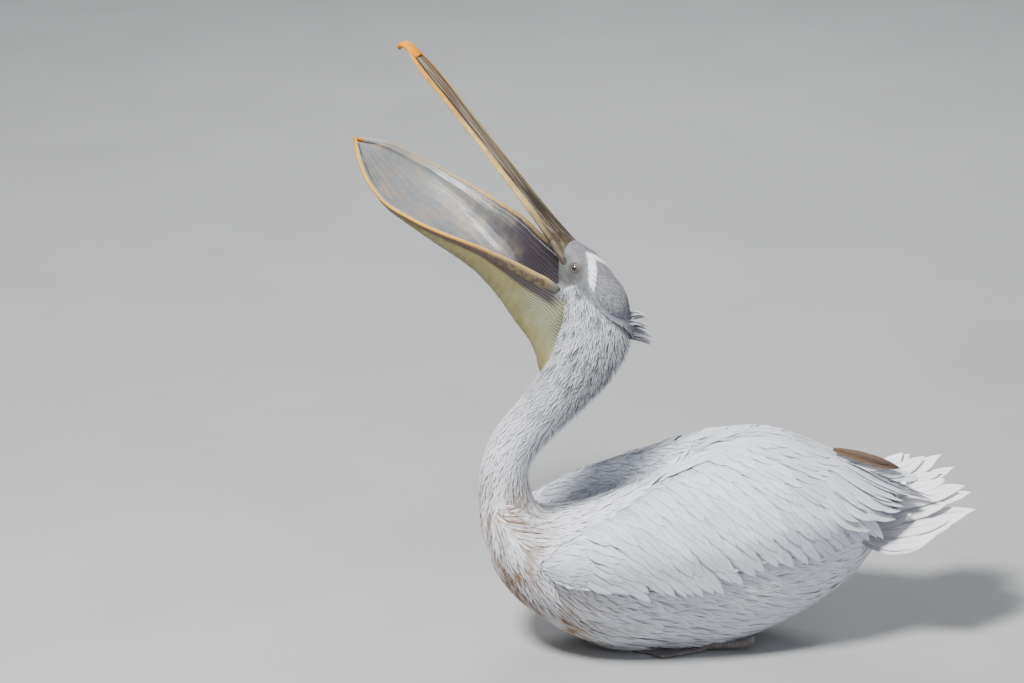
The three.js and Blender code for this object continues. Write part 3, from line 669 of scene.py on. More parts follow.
def marks(p, reg, uv):
    """Colour of the plumage at points p: linear rgb."""
    p = np.asarray(p, float)
    x, y, z = p[:, 0] / MM, p[:, 1] / MM, p[:, 2] / MM
    n = len(p)
    col = np.tile(lin(206, 208, 214), (n, 1))
    big, small = wavy(p, 0.05), wavy(p, 0.012)
    t, nk, hd = reg == 0, reg == 1, reg == 2
    wg = reg >= 3
    # body: cool white, a little greyer low down, ochre stain down the breast
    body = blend_cols(np.tile(lin(220, 223, 231), (n, 1)), np.tile(lin(193, 198, 209), (n, 1)), smooth(170, 60, z) * 0.6)
    col = np.where(t[:, None], body, col)
    # neck: grey-white with darker flecks towards the head: the feathers' dark bases and painted shadow between the
    # tufts
    v = uv[:, 1]
    neckc = blend_cols(np.tile(lin(215, 217, 224), (n, 1)), np.tile(lin(196, 199, 207), (n, 1)), smooth(0.38, 0.7, v))
    fleck_and_tuft_shadow = smooth(0.0, 0.6, wavy(p * [1, 1, 0.7], 0.0055) + 0.3 * big) * smooth(0.42, 0.72, v)
    neckc = blend_cols(neckc, np.tile(lin(70, 70, 75), (n, 1)), fleck_and_tuft_shadow * 0.75)
    pale = smooth(0.05, 0.6, -wavy(p, 0.0055)) * smooth(0.5, 0.8, v)
    neckc = blend_cols(neckc, np.tile(lin(226, 227, 230), (n, 1)), pale * 0.5)
    col = np.where(nk[:, None], neckc, col)
    sheet = nape(p)
    fine = wavy(p * [1, 1, 0.3], 0.004)
    grey = blend_cols(np.tile(lin(138, 139, 145), (n, 1)), np.tile(lin(112, 113, 119), (n, 1)), np.clip(0.5 + 0.6 * fine, 0, 1))
    col = np.where(nk[:, None], blend_cols(col, grey, sheet * 0.95), col)
    stain = smooth(-216, -294, x + 0.16 * np.abs(y) + 0.12 * np.clip(z - 170, 0, 200)) * smooth(345, 260, z) * smooth(4, 40, z)
    streak = np.clip(0.62 + 0.9 * wavy(p * [1, 2.2, 0.35], 0.010), 0, 1)
    stain = np.maximum(stain * streak, 1.0 * smooth(-110, -250, x) * smooth(190, 96, z) * np.clip(0.5 + 0.8 * small, 0, 1))
    warm = blend_cols(np.tile(lin(150, 108, 30), (n, 1)), np.tile(lin(114, 74, 14), (n, 1)), 0.5 + 0.5 * big)
    col = np.where((t | nk)[:, None], blend_cols(col, warm, np.clip(stain, 0, 1) * 0.9), col)
    # head: grey, with a white band from the forehead down behind the eye
    a, s, h = head_coords(p)
    dev = np.degrees(np.arctan2(np.abs(s), h))
    off = a - (5 - 0.6 * dev)
    headc = np.tile(lin(142, 143, 150), (n, 1))
    headc = blend_cols(headc, np.tile(lin(120, 122, 128), (n, 1)), smooth(4, 9, off))
    headc = blend_cols(headc, np.tile(lin(112, 113, 119), (n, 1)), smooth(-8, -12, off) * smooth(-34, -18, off) * 0.7)
    headc = blend_cols(headc, grey, smooth(-14, -24, off) * sheet)
    cheek = smooth(56, 80, dev) * smooth(6, -12, off) * (1 - sheet)
    headc = blend_cols(headc, np.tile(lin(168, 170, 175), (n, 1)), cheek * smooth(0.1, -0.3, wavy(p, 0.006)) * 0.8)
    ear = smooth(-0.1, 0.5, wavy(p, 0.006)) * smooth(50, 75, dev) * smooth(4, -14, off)
    headc = blend_cols(headc, np.tile(lin(62, 62, 67), (n, 1)), ear * 0.75 * (1 - 0.6 * sheet))
    wide = mix(9.5, 6.0, smooth(20, 66, dev))
    band = smooth(wide + 1.5, wide - 1.0, np.abs(off + 0.8 * small)) * smooth(72, 62, dev)
    headc = blend_cols(headc, np.tile(lin(244, 245, 246), (n, 1)), np.clip(band, 0, 1))
    col = np.where(hd[:, None], headc, col)
    # wings: cool silvery white, greyer towards the quills
    wc = blend_cols(np.tile(lin(216, 220, 231), (n, 1)), np.tile(lin(191, 197, 211), (n, 1)), smooth(-60, 280, x) * 0.5 + 0.3 * big)
    col = np.where(wg[:, None], wc, col)
    return np.clip(col * (1 + 0.05 * small[:, None]), 0, 1)


def bare_colour(p):
    """Grey naked skin of the face, darker and browner round the eye."""
    a, s, h = head_coords(p)
    c = np.tile(lin(86, 90, 91), (len(p), 1))
    c = blend_cols(c, np.tile(lin(106, 108, 106), (len(p), 1)), 0.5 + 0.5 * wavy(p, 0.006))
    e = np.minimum(np.linalg.norm(p - EYE_L, axis=1), np.linalg.norm(p - EYE_R, axis=1)) / MM
    ring = smooth(13.2, 10.6, e)
    return blend_cols(c, np.tile(lin(62, 58, 56), (len(p), 1)), ring * 0.8)


col = marks(sv2, skin_reg, skin_uv) * 0.9
bare = face_bare(sv2) * (skin_reg == 2)
col = blend_cols(col, bare_colour(sv2), bare)
set_colour(skin, col)
skin_me.materials.clear()
skin_me.materials.append(MAT_SKIN)

# the skin's unwrap, which the plumage shares
bpy.context.view_layer.objects.active = skin
skin.select_set(True)
skin_me.uv_layers.new(name="OFBake")
bpy.ops.object.mode_set(mode="EDIT")
bpy.ops.mesh.select_all(action="SELECT")
bpy.ops.uv.smart_project(angle_limit=1.15, island_margin=0.0015)
bpy.ops.object.mode_set(mode="OBJECT")
loops = np.zeros(len(skin_me.loops) * 2, np.float32)
skin_me.uv_layers["OFBake"].data.foreach_get("uv", loops)
loops = loops.reshape(-1, 2)
starts = np.zeros(len(skin_me.polygons), np.int32)
totals = np.zeros(len(skin_me.polygons), np.int32)
skin_me.polygons.foreach_get("loop_start", starts)
skin_me.polygons.foreach_get("loop_total", totals)
FACE_UV = np.add.reduceat(loops, starts, axis=0) / totals[:, None]
SKIN_TREE = BVHTree.FromObject(skin, bpy.context.evaluated_depsgraph_get())

# ------------------------------------------------------------------ where each feather sits
fc = np.zeros(len(skin_me.polygons) * 3, np.float32)
skin_me.polygons.foreach_get("center", fc)
fc = fc.reshape(-1, 3).astype(float)
fn = np.zeros(len(skin_me.polygons) * 3, np.float32)
skin_me.polygons.foreach_get("normal", fn)
fn = fn.reshape(-1, 3).astype(float)
fa = np.zeros(len(skin_me.polygons), np.float32)
skin_me.polygons.foreach_get("area", fa)
first = np.zeros(len(skin_me.polygons), np.int32)
skin_me.polygons.foreach_get("loop_start", first)
vi = np.zeros(len(skin_me.loops), np.int32)
skin_me.loops.foreach_get("vertex_index", vi)
freg, fuv = skin_reg[vi[first]], skin_uv[vi[first]]


def wing_q(uv):
    u = uv[:, 0]
    return np.where(u <= 0.6, u / 0.6, 1 - (u - 0.6) / 0.4), u > 0.6


_wing_xs, _wing_qs = np.linspace(-270, 396, 112), np.linspace(0, 1, 31)
_wing_arc, _wing_grid = np.zeros((112, 31)), np.zeros((112, 31, 3))
for i, xx in enumerate(_wing_xs):
    pts = np.array([wing_line(float(xx), float(qq)) for qq in _wing_qs])
    seg = np.linalg.norm(np.diff(pts, axis=0), axis=1)
    _wing_arc[i, :-1] = np.cumsum(seg[::-1])[::-1]
    _wing_grid[i] = pts


def to_edge(x, q):
    """mm left down the wing's face to its lower edge."""
    i = np.clip(np.round((x + 270) / 6).astype(int), 0, 111)
    f = np.clip(q, 0, 1) * 30
    j = np.clip(np.floor(f).astype(int), 0, 29)
    return mix(_wing_arc[i, j], _wing_arc[i, j + 1], f - j)


def wing_face(x, q):
    """Point on the wing's outer line, read off the grid."""
    f, g = clamp((x + 270) / 6, 0, 110.999), clamp(q, 0, 1) * 29.999
    i, j = int(f), int(g)
    f, g = f - i, g - j
    a, b = _wing_grid[i], _wing_grid[i + 1]
    return (a[j] * (1 - g) + a[j + 1] * g) * (1 - f) + (b[j] * (1 - g) + b[j + 1] * g) * f


def q_at(x, e):
    """q of the point e mm up the wing's face from its lower edge, at station x."""
    i = int(clamp(round((x + 270) / 6), 0, 111))
    return float(np.interp(e, _wing_arc[i, ::-1], _wing_qs[::-1]))


def plan(p, nr, reg, uv):
    """Spacing, how much wider the spacing is along the lie, length, width, rise (mm) and direction of the feathers at p."""
    n = len(p)
    long = np.full(n, 2.0)
    x, y, z = p[:, 0] / MM, p[:, 1] / MM, p[:, 2] / MM
    gap, length, width, rise = np.full(n, 10.0), np.full(n, 44.0), np.full(n, 12.0), np.full(n, 6.5)
    d = np.tile([1.0, 0, 0], (n, 1))
    # trunk
    t = reg == 0
    breast = smooth(-150, -300, x) * smooth(20, 60, z)
    gap = np.where(t, mix(8.6, 5.2, breast), gap)
    gap = np.where(t, mix(5.0, 3.6, breast), gap)
    long = np.where(t, mix(3.2, 2.4, breast), long)
    length = np.where(t, mix(62, 30, breast), length)
    width = np.where(t, mix(7.6, 3.8, breast), width)
    rise = np.where(t, mix(4.6, 3.8, breast), rise)
    dt = np.stack([np.ones(n), 0.12 * np.sign(y) * breast, -0.2 - 1.15 * breast + 0.55 * smooth(120, 290, x)], 1)
    top = smooth(0.3, 0.8, nr[:, 2]) * (z > 180)
    dt = dt * (1 - top[:, None]) + np.array([1.0, 0, 0]) * top[:, None]
    d = np.where(t[:, None], dt, d)
    # neck: down towards the body
    k = reg == 1
    v = uv[:, 1]
    tn = np.stack([np.interp(v, _tv, _tan[:, i]) for i in range(3)], 1)
    gap = np.where(k, mix(3.6, 2.7, smooth(0.2, 0.7, v)), gap)
    long = np.where(k, mix(2.0, 1.5, v), long)
    length = np.where(k, mix(26, 12, smooth(0.15, 0.75, v)), length)
    width = np.where(k, mix(3.4, 2.1, smooth(0.2, 0.7, v)), width)
    rise = np.where(k, mix(3.8, 3.6, v), rise)
    fluffy = smooth(0.1, 0.7, nr[:, 0]) * smooth(0.36, 0.5, v) * smooth(0.9, 0.8, v)
    sheet = nape(p) * k
    rise = np.where(k, rise + 6.5 * fluffy * (1 - sheet), rise)
    rise = rise * (1 - sheet) + 1.9 * sheet
    length = length * (1 - sheet) + 15 * sheet
    d = np.where(k[:, None], -tn, d)
    # head: back from the bill
    hd = reg == 2
    a, s, h = head_coords(p)
    far = smooth(10, -60, a)
    fluff = smooth(-8, -26, h) * smooth(6, -10, a)
    gap = np.where(hd, mix(2.0, 2.6, far), gap)
    long = np.where(hd, 1.4, long)
    length = np.where(hd, mix(5.6, 10.5, far), length)
    width = np.where(hd, mix(1.7, 2.3, far), width)
    rise = np.where(hd, mix(1.1, 2.0, far) + 1.8 * fluff, rise)
    back = -F[None, :] + 0.25 * smooth(-20, -80, a)[:, None] * np.array([[0.4, 0, -1.0]])
    back = back + fluff[:, None] * (-0.5 * N[None, :])
    d = np.where(hd[:, None], back, d)
    # wings: back and down off the ridge, in long overlapping vanes
    w = reg >= 3
    q, inner = wing_q(uv)
    ang = mix(38.0, 42.0, smooth(0.1, 0.95, q)) * rad
    ang = ang * mix(0.28, 1.0, smooth(-235, -70, x)) * mix(1.0, 0.55, smooth(60, 250, x) * smooth(0.9, 0.3, q))
    sgn = np.where(reg == 3, -1.0, 1.0)
    down = np.stack([np.zeros(n), 0.75 * sgn, -np.ones(n)], 1)
    down = unit(down - (down * nr).sum(1)[:, None] * nr)
    dw = np.cos(ang)[:, None] * np.array([[1.0, 0, 0]]) + np.sin(ang)[:, None] * down
    ridge = np.maximum(np.maximum(inner, smooth(0.09, 0.02, q)), smooth(0.2, 0.05, nr[:, 1] * sgn) * (q < 0.5))
    dw = dw * (1 - ridge[:, None]) + np.array([[1.0, 0, -0.06]]) * ridge[:, None]
    size = smooth(-225, -40, x) * (1 - 0.85 * ridge)
    gap = np.where(w, mix(3.0, 8.0, size), gap)
    long = np.where(w, mix(2.8, 4.2, size), long)
    left = (to_edge(x, q) - 8) / np.maximum(np.sin(ang), 0.12)
    left = np.where(ridge > 0.5, 200, np.maximum(left, 14))
    length = np.where(w, np.minimum(mix(30, 110, size), left), length)
    width = np.where(w, mix(4.4, 16, size), width)
    rise = np.where(w, mix(2.1, 4.6, size) + 2.0 * smooth(0.6, 0.9, q) * (1 - inner) * smooth(-240, -120, x), rise)
    flat = ridge > 0.5
    length, width, rise = np.where(w & flat, 24, length), np.where(w & flat, 5.4, width), np.where(w & flat, 2.4, rise)
    gap, long = np.where(w & flat, 4.4, gap), np.where(w & flat, 2.2, long)
    d = np.where(w[:, None], dw, d)
    # hidden undersides are coarser
    hide = smooth(60, 25, z)
    gap = gap * (1 + 0.5 * hide)
    d = unit(d - (d * nr).sum(1)[:, None] * nr)
    return gap, long, length, width, rise, d


gap, long, *_ = plan(fc, fn, freg, fuv)
expected = fa / (gap * MM) ** 2 / long
keep_face = np.ones(len(fc), bool)
keep_face &= ~((freg == 2) & (face_bare(fc) > 0.5))
_q, _in = wing_q(fuv)
keep_face &= ~((freg >= 3) & ~_in & (to_edge(fc[:, 0] / MM, _q) < 22 * smooth(-205, -110, fc[:, 0] / MM)))
keep_face &= ~((freg >= 3) & _in & (_q > 0.7))
expected = expected * keep_face
total = int(expected.sum() * (7.0))
pick = rng.choice(len(fc), size=total, p=expected / expected.sum())
side_len = np.sqrt(fa[pick])[:, None]
roots = fc[pick] + (rng.random((total, 3)) - 0.5) * side_len * 1.1
_hits = [SKIN_TREE.find_nearest(Vector(p)) for p in roots]
roots = np.array([h[0] for h in _hits], float)
rn = np.array([h[1] for h in _hits], float)
rf = np.array([h[2] for h in _hits], int)
rreg, ruv = freg[rf], fuv[rf]
gap, long, length, width, rise, rdir = plan(roots, rn, rreg, ruv)
for i in np.where((rreg <= 1) & (roots[:, 0] < -0.06))[0]:
    near = min((TREES[k].find_nearest(Vector(roots[i]), 0.08)[3] or 0.08) for k in ("wing_left", "wing_right"))
    length[i] = min(length[i], 9 + 0.8 * near / MM)


def spread_out(points, radius, lie, long):
    """Keeps points no nearer to one another than their radius across the lie, and `long` times that along it."""
    cell = float((radius * long).max())
    grid, kept = {}, []
    keys = np.floor(points / cell).astype(int).tolist()
    pts, dirs, rr, shrink = points.tolist(), lie.tolist(), (radius**2).tolist(), (1 - 1 / long**2).tolist()
    around = [(i, j, k) for i in (-1, 0, 1) for j in (-1, 0, 1) for k in (-1, 0, 1)]
    for i in range(len(pts)):
        kx, ky, kz = keys[i]
        (p0, p1, p2), (d0, d1, d2), r2, c, ok = pts[i], dirs[i], rr[i], shrink[i], True
        for dx, dy, dz in around:
            for o in grid.get((kx + dx, ky + dy, kz + dz), ()):
                e0, e1, e2 = o[0] - p0, o[1] - p1, o[2] - p2
                al = e0 * d0 + e1 * d1 + e2 * d2
                if e0 * e0 + e1 * e1 + e2 * e2 - c * al * al < r2:
                    ok = False
                    break
            if not ok:
                break
        if ok:
            grid.setdefault((kx, ky, kz), []).append((p0, p1, p2))
            kept.append(i)
    return np.array(kept, int)


kept = []
scale = 0.75
for members in (np.where(rreg == 0)[0], np.where(rreg == 1)[0], np.where(rreg == 2)[0], np.where(rreg >= 3)[0]):
    if len(members):
        kept.append(members[spread_out(roots[members], gap[members] * MM * scale, rdir[members], long[members])])
kept = np.concatenate(kept)
# nothing grows on the flat under the belly
kept = kept[roots[kept][:, 2] > 0.004]
roots, rn, rf, rreg, ruv = roots[kept], rn[kept], rf[kept], rreg[kept], ruv[kept]
length, width, rise, rdir = length[kept], width[kept], rise[kept], rdir[kept]
print("feathers", len(roots), [int((rreg == k).sum()) for k in range(5)])


# ------------------------------------------------------------------ growing them
def profile(s, kind):
    if kind == "lance":
        return np.interp(s, [0, 0.15, 0.45, 0.7, 0.88, 1], [0.45, 0.8, 1.0, 0.86, 0.48, 0.0])
    if kind == "blade":
        return np.interp(s, [0, 0.1, 0.4, 0.7, 0.85, 0.95, 1], [0.3, 0.6, 1.0, 0.95, 0.7, 0.34, 0.0])
    if kind == "hair":
        return np.interp(s, [0, 0.2, 0.5, 0.8, 1], [0.7, 1.0, 0.8, 0.4, 0.0])
    return np.interp(s, [0, 0.08, 0.3, 0.7, 0.9, 0.97, 1], [0.22, 0.45, 0.9, 1.0, 0.8, 0.45, 0.0])  # quill


def vanes(name, root, normal, direc, L, W, H, tint, tip, face, rows=5, kind="lance", stiff=0.0, thick=0.35, mat=None, jitter=0.12, camber=0.1, curl=0.05):
    """Solid little vanes: three lines of points each (left edge, raised shaft, right edge) and a floor under them."""
    n = len(root)
    direc = unit(direc + np.cross(normal, direc) * rng.normal(0, jitter, (n, 1)))
    L = L * MM * rng.uniform(0.82, 1.18, n)
    W = W * MM * rng.uniform(0.85, 1.15, n)
    H = H * MM * rng.uniform(0.75, 1.1, n)
    s = np.linspace(0, 1, rows + 1)
    P = np.zeros((rows + 1, n, 3))
    NN = np.zeros((rows + 1, n, 3))
    pos, d, nn = root.copy(), direc.copy(), normal.copy()
    P[0], NN[0] = pos, nn
    turn = rng.normal(0, curl, (n, 1))
    for i in range(1, rows + 1):
        d = unit(d + np.cross(NN[i - 1], d) * turn)
        step = (s[i] - s[i - 1]) * L
        guess = pos + d * step[:, None]
        for j in range(n):
            hit = SKIN_TREE.find_nearest(Vector(guess[j]), 0.05)
            if hit[0] is None:
                P[i, j], NN[i, j] = guess[j], nn[j]
            else:
                P[i, j], NN[i, j] = hit[0], hit[1]
        free = np.clip(stiff * s[i], 0, 1)
        if np.ndim(free) or free > 0:
            free = np.broadcast_to(free, (n,))[:, None]
            P[i] = P[i] * (1 - free) + guess * free
        NN[i] = unit(NN[i] * 0.6 + NN[i - 1] * 0.4)
        d = unit(P[i] - pos + 1e-9)
        pos = P[i]
    # place the rows: rise towards the tip
    rowh = (0.06 + 0.94 * s**0.85)[:, None] * H[None, :]
    C = P + NN * rowh[..., None]
    D = np.zeros_like(C)
    D[:-1] = C[1:] - C[:-1]
    D[-1] = D[-2]
    D = unit(D)
    side = unit(np.cross(D, NN))
    half = profile(s, kind)[:, None] * W[None, :] * 0.5
    Lf = C - side * half[..., None] - NN * (half * camber)[..., None]
    Rt = C + side * half[..., None] - NN * (half * camber)[..., None]
    C = C + NN * thick * MM
    # vertices: rows of 3, then one tip
    V = np.stack([Lf[:-1], C[:-1], Rt[:-1]], 2)  # rows, n, 3, 3
    V = np.transpose(V, (1, 0, 2, 3)).reshape(n, rows * 3, 3)
    V = np.concatenate([V, C[-1][:, None, :]], 1)
    per = rows * 3 + 1
    V[..., 2] = np.maximum(V[..., 2], 0.0006)
    tri = []
    for r in range(rows - 1):
        l0, c0, r0 = r * 3, r * 3 + 1, r * 3 + 2
        l1, c1, r1 = l0 + 3, c0 + 3, r0 + 3
        tri += [(l0, c0, c1), (l0, c1, l1), (c0, r0, r1), (c0, r1, c1), (r0, l0, l1), (r0, l1, r1)]
    l0, c0, r0, tp = (rows - 1) * 3, (rows - 1) * 3 + 1, (rows - 1) * 3 + 2, rows * 3
    tri += [(l0, c0, tp), (c0, r0, tp), (r0, l0, tp), (2, 1, 0)]
    tri = np.array(tri)[:, ::-1]
    T = (np.arange(n)[:, None, None] * per + tri[None]).reshape(-1, 3)
    sv_ = np.concatenate([np.repeat(s[:-1], 3), [1.0]])
    ac_ = np.concatenate([np.tile([0.0, 0.5, 1.0], rows), [0.5]])
    # darker towards the root: painted shade under the overlapping feathers
    f = (0.80 + 0.22 * sv_)[None, :, None] * (1 + 0.0 * ac_[None, :, None])
    colr = (tint[:, None, :] * (1 - sv_[None, :, None] ** 2) + tip[:, None, :] * sv_[None, :, None] ** 2) * f
    ob = fast_mesh(name, V.reshape(-1, 3), T)
    set_colour(ob, np.clip(colr.reshape(-1, 3), 0, 1))
    centre = FACE_UV[face]
    patch = centre[:, None, :] + 0.003 * (np.stack([ac_, sv_], 1) - 0.5)[None]
    set_uv(ob, patch.reshape(-1, 2), "OFBake")
    set_uv(ob, np.tile(np.stack([ac_, sv_], 1), (n, 1)), "vane")
    ob.data.materials.append(mat or MAT_FEATHER)
    return ob


def seat(points):
    """Skin face nearest each point, for the unwrap."""
    return np.array([SKIN_TREE.find_nearest(Vector(p))[2] for p in points], int)


def finish_piece(ob, slot, *nodes):
    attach(ob, "root")
    if nodes:
        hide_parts(*nodes)
    return ob


finish_piece(skin, "plumage", "trunk", "neck_lower", "neck_upper", "head", "wing_left", "wing_right")

# ------------------------------------------------------------------ the coat
tint = marks(roots, rreg, ruv) * rng.uniform(0.9, 1.06, (len(roots), 1))
tip = np.clip(tint * 1.07 + 0.01, 0, 1)
# neck feathers darker at the root, paler at the tip: the feathers' dark bases and painted shade between the tufts
neck_base_and_shade = ((rreg == 1) * smooth(0.4, 0.62, ruv[:, 1]))[:, None]
tip = np.clip(tip * (1 + 0.12 * neck_base_and_shade), 0, 1)
tint = tint * (1 - 0.3 * neck_base_and_shade * (1 - nape(roots))[:, None])
wq, winner = wing_q(ruv)
is_wing = rreg >= 3
stiff = np.where(is_wing & ~winner, 0.12, 0.0)
stiff = np.where(rreg == 1, 0.12 + 0.4 * smooth(0.1, 0.7, rn[:, 0]) * smooth(0.36, 0.5, ruv[:, 1]) * (1 - nape(roots)), stiff)
stiff = np.where(rreg == 0, 0.25 * smooth(230, 300, roots[:, 0] / MM), stiff)


def coat(name, mask, slot, rows, kind="lance", jitter=0.12, thick=0.35, camber=0.1, curl=0.05, mat=None):
    idx = np.where(mask)[0]
    if not len(idx):
        return None
    ob = vanes(
        name, roots[idx], rn[idx], rdir[idx], length[idx], width[idx], rise[idx], tint[idx], tip[idx], rf[idx],
        rows=rows, kind=kind, stiff=stiff[idx], jitter=jitter, thick=thick, camber=camber, curl=curl, mat=mat,
    )
    return finish_piece(ob, slot)


is_neck, nv_ = rreg == 1, ruv[:, 1]
coat("coat_head", rreg == 2, "grey_plumage", 3, "lance", 0.1, 0.15)
coat("coat_neck_upper", is_neck & (nv_ > 0.55), "plumage", 4, "hair", 0.2, 0.25)
coat("coat_neck_lower", is_neck & (nv_ <= 0.55), "plumage", 4, "hair", 0.16, 0.3)
coat("coat_body", rreg == 0, "plumage", 4, "lance", 0.1)
coat("coat_wing_left", rreg == 3, "plumage", 9, "lance", 0.07, 0.4, 0.07, 0.02, MAT_COVERT)
coat("coat_wing_right", rreg == 4, "plumage", 9, "lance", 0.07, 0.4, 0.07, 0.02, MAT_COVERT)


# ------------------------------------------------------------------ long feathers, one blade each
RING = [(-1.0, 0.0), (-0.55, 0.8), (0.0, 1.0), (0.55, 0.8), (1.0, 0.0), (0.55, -0.8), (0.0, -1.0), (-0.55, -0.8)]


def blades(name, items, slot, nodes=(), mat=None, rows=12, belly=0.16):
    """items: dicts with spine (k,3) m, up (3,) or (k,3), half (m), thick (m), tint, tip, kind."""
    V, T, C, UV, BK, base = [], [], [], [], [], 0
    s = np.linspace(0, 1, rows)
    ring = np.array(RING)
    for it in items:
        sp = np.asarray(it["spine"], float)
        t = np.linspace(0, 1, len(sp))
        P = np.stack([np.interp(s, t, sp[:, c]) for c in range(3)], 1)
        D = unit(np.gradient(P, axis=0))
        up = np.asarray(it["up"], float)
        if up.ndim == 2:
            up = np.stack([np.interp(s, t, up[:, c]) for c in range(3)], 1)
        up = np.broadcast_to(up, P.shape)
        side = unit(np.cross(D, up))
        nn = unit(np.cross(side, D))
        half = profile(s, it.get("kind", "quill")) * it["half"]
        half[-1] = it["half"] * 0.03
        half = half * (1 + 0.05 * np.sin(s * 41 + it.get("seed", 0)) * (s > 0.5))
        th = it["thick"] * (1 - 0.75 * s)
        ringp = (
            P[:, None, :]
            + side[:, None, :] * (ring[None, :, :1] * half[:, None, None])
            + nn[:, None, :] * (ring[None, :, 1:] * th[:, None, None] * 0.5 - it.get("belly", belly) * (ring[None, :, :1] ** 2) * half[:, None, None])
        )
        V.append(ringp.reshape(-1, 3))
        k = np.arange(rows - 1)[:, None] * 8 + np.arange(8)[None]
        k2 = np.arange(rows - 1)[:, None] * 8 + (np.arange(8)[None] + 1) % 8
        a, b, c, d = k, k2, k2 + 8, k + 8
        tri = np.concatenate([np.stack([a, d, c], -1).reshape(-1, 3), np.stack([a, c, b], -1).reshape(-1, 3)])
        cap0 = np.array([(0, i, i + 1) for i in range(1, 7)])
        e = (rows - 1) * 8
        cap1 = np.array([(e, e + i + 1, e + i) for i in range(1, 7)])
        T.append(np.concatenate([tri, cap0, cap1]) + base)
        across = (ring[:, 0] + 1) / 2
        uv = np.stack([np.tile(across, rows), np.repeat(s, 8)], 1)
        UV.append(uv)
        edge = np.abs(uv[:, 0] - 0.5) * 2
        col = blend_cols(np.tile(it["tint"], (len(uv), 1)), np.tile(it["tip"], (len(uv), 1)), uv[:, 1] ** 1.5)
        # edges take the rim colour: darker on the coverts, painted shade between the feathers, and on the crest and
        # nape plumes; paler on the quills, the tail and the worn feather
        col = blend_cols(col, np.tile(it.get("rim", it["tip"]), (len(uv), 1)), smooth(0.7, 1.0, edge) * 0.5)
        C.append(col)
        BK.append((len(uv), P[0]))
        base += rows * 8
    V, T, C, UV = np.concatenate(V), np.concatenate(T), np.concatenate(C), np.concatenate(UV)
    faces = seat([b[1] for b in BK])
    centre = np.concatenate([np.tile(FACE_UV[f], (b[0], 1)) for f, b in zip(faces, BK)])
    ob = fast_mesh(name, V, T)
    set_colour(ob, np.clip(C, 0, 1))
    set_uv(ob, centre + 0.003 * (UV - 0.5), "OFBake")
    set_uv(ob, UV, "vane")
    ob.data.materials.append(mat or MAT_VANE)
    return finish_piece(ob, slot, *nodes)


def wing_out(x, q, side, lift):
    """Point on a wing's outer surface at station x, lifted off it, and the way outwards."""
    p = wing_face(x, q)
    core = np.array([x, float(wing_core_y(x)), float(wing_core_z(x))])
    o = unit(np.array([0, p[1] - core[1], p[2] - core[2]]))
    p = p + o * lift
    return np.array([p[0], side * p[1], p[2]]) * MM, np.array([0, side * o[1], o[2]])


def step_out(q, reach=104):
    return 296 + reach * (1 - 0.5 * abs(q - 0.4) ** 1.5)


def wing_up(x, q, side, o):
    """The wing's own normal at a point of its face, on the side of o."""
    a = wing_face(x, q + 0.03) - wing_face(x, q - 0.03)
    b = wing_face(x + 9, q) - wing_face(x - 9, q)
    n = unit(np.cross(a, b) * [1, side, 1])
    return n * (1 if n @ o > 0 else -1)


def along_ridge(x, c0, c1, long, side, top):
    """A vane lying along the wing's ridge, c0 mm below it at the root and c1 mm at its tip at station x."""
    pts, ups = [], []
    for t in np.linspace(0, 1, 12):
        xx = clamp(x - long * (1 - t), -262, 392)
        arc = float(np.interp(xx, _wing_xs, _wing_arc[:, 0]))
        qq = clamp(q_at(xx, arc - mix(c0, c1, t)), 0.004, 0.95)
        p, o = wing_out(xx, qq, side, 0)
        o = wing_up(xx, clamp(qq, 0.04, 0.95), side, o)
        pts.append(p + o * mix(-2.6, top, float(smooth(0, 0.6, t))) * MM)
        ups.append(o)
    return np.array(pts), np.array(ups)


def covert(x, e_tip, long, half, ang, side, top):
    """A long vane lying slantwise down the wing's face to its tip at station x, e_tip mm above the lower edge."""
    pts, ups, push = [], [], []
    for t in np.linspace(0, 1, 14):
        back = long * (1 - t)
        xx = x - back * math.cos(ang)
        e = e_tip + back * math.sin(ang) * (1 + 0.12 * t)
        xx = clamp(xx, -262, 396)
        arc = float(_wing_arc[int(clamp(round((xx + 270) / 6), 0, 111)), 0])
        lift = mix(-6.5, top, float(smooth(0, 0.7, t)))
        qq = q_at(xx, clamp(e, 1.5, arc - 22))
        p, o = wing_out(xx, qq, side, 0)
        o = wing_up(xx, clamp(qq, 0.04, 0.95), side, o)
        p = p + o * lift * MM
        # the root stays well inside where the wing is thin
        c_, n_, *_ = TREES["wing_left" if side < 0 else "wing_right"].find_nearest(Vector(p))
        n_ = np.array(n_)
        if n_ @ o < 0.3 and t < 0.7:
            p = p + o * max(0.0, float((p - np.array(c_)) @ n_) + 0.0055)
        if e < 1.5:
            low = wing_out(xx, q_at(xx, 14), side, 0)[0] + o * lift * MM
            p = p + unit(unit(p - low) - 0.06 * o) * (1.5 - e) * MM
        near = TREES["trunk"].find_nearest(Vector(p))
        gap_ = (Vector(p) - near[0]).dot(near[1])
        push.append(max(0.0, mix(-0.005, 0.0008, t) - gap_) if e < 30 else 0.0)
        pts.append(p)
        ups.append(o)
    pts, ups, push = np.array(pts), np.array(ups), np.array(push)
    push = np.convolve(np.concatenate([[push[0]] * 2, push, [push[-1]] * 2]), np.ones(5) / 5, "valid")
    pts = pts + ups * push[:, None]
    w = np.cross(ups, unit(pts[-1] - pts[0])[None])
    w = w * np.where(w[:, 2:] > 0, 1, -1)
    return pts, ups + 0.05 * w


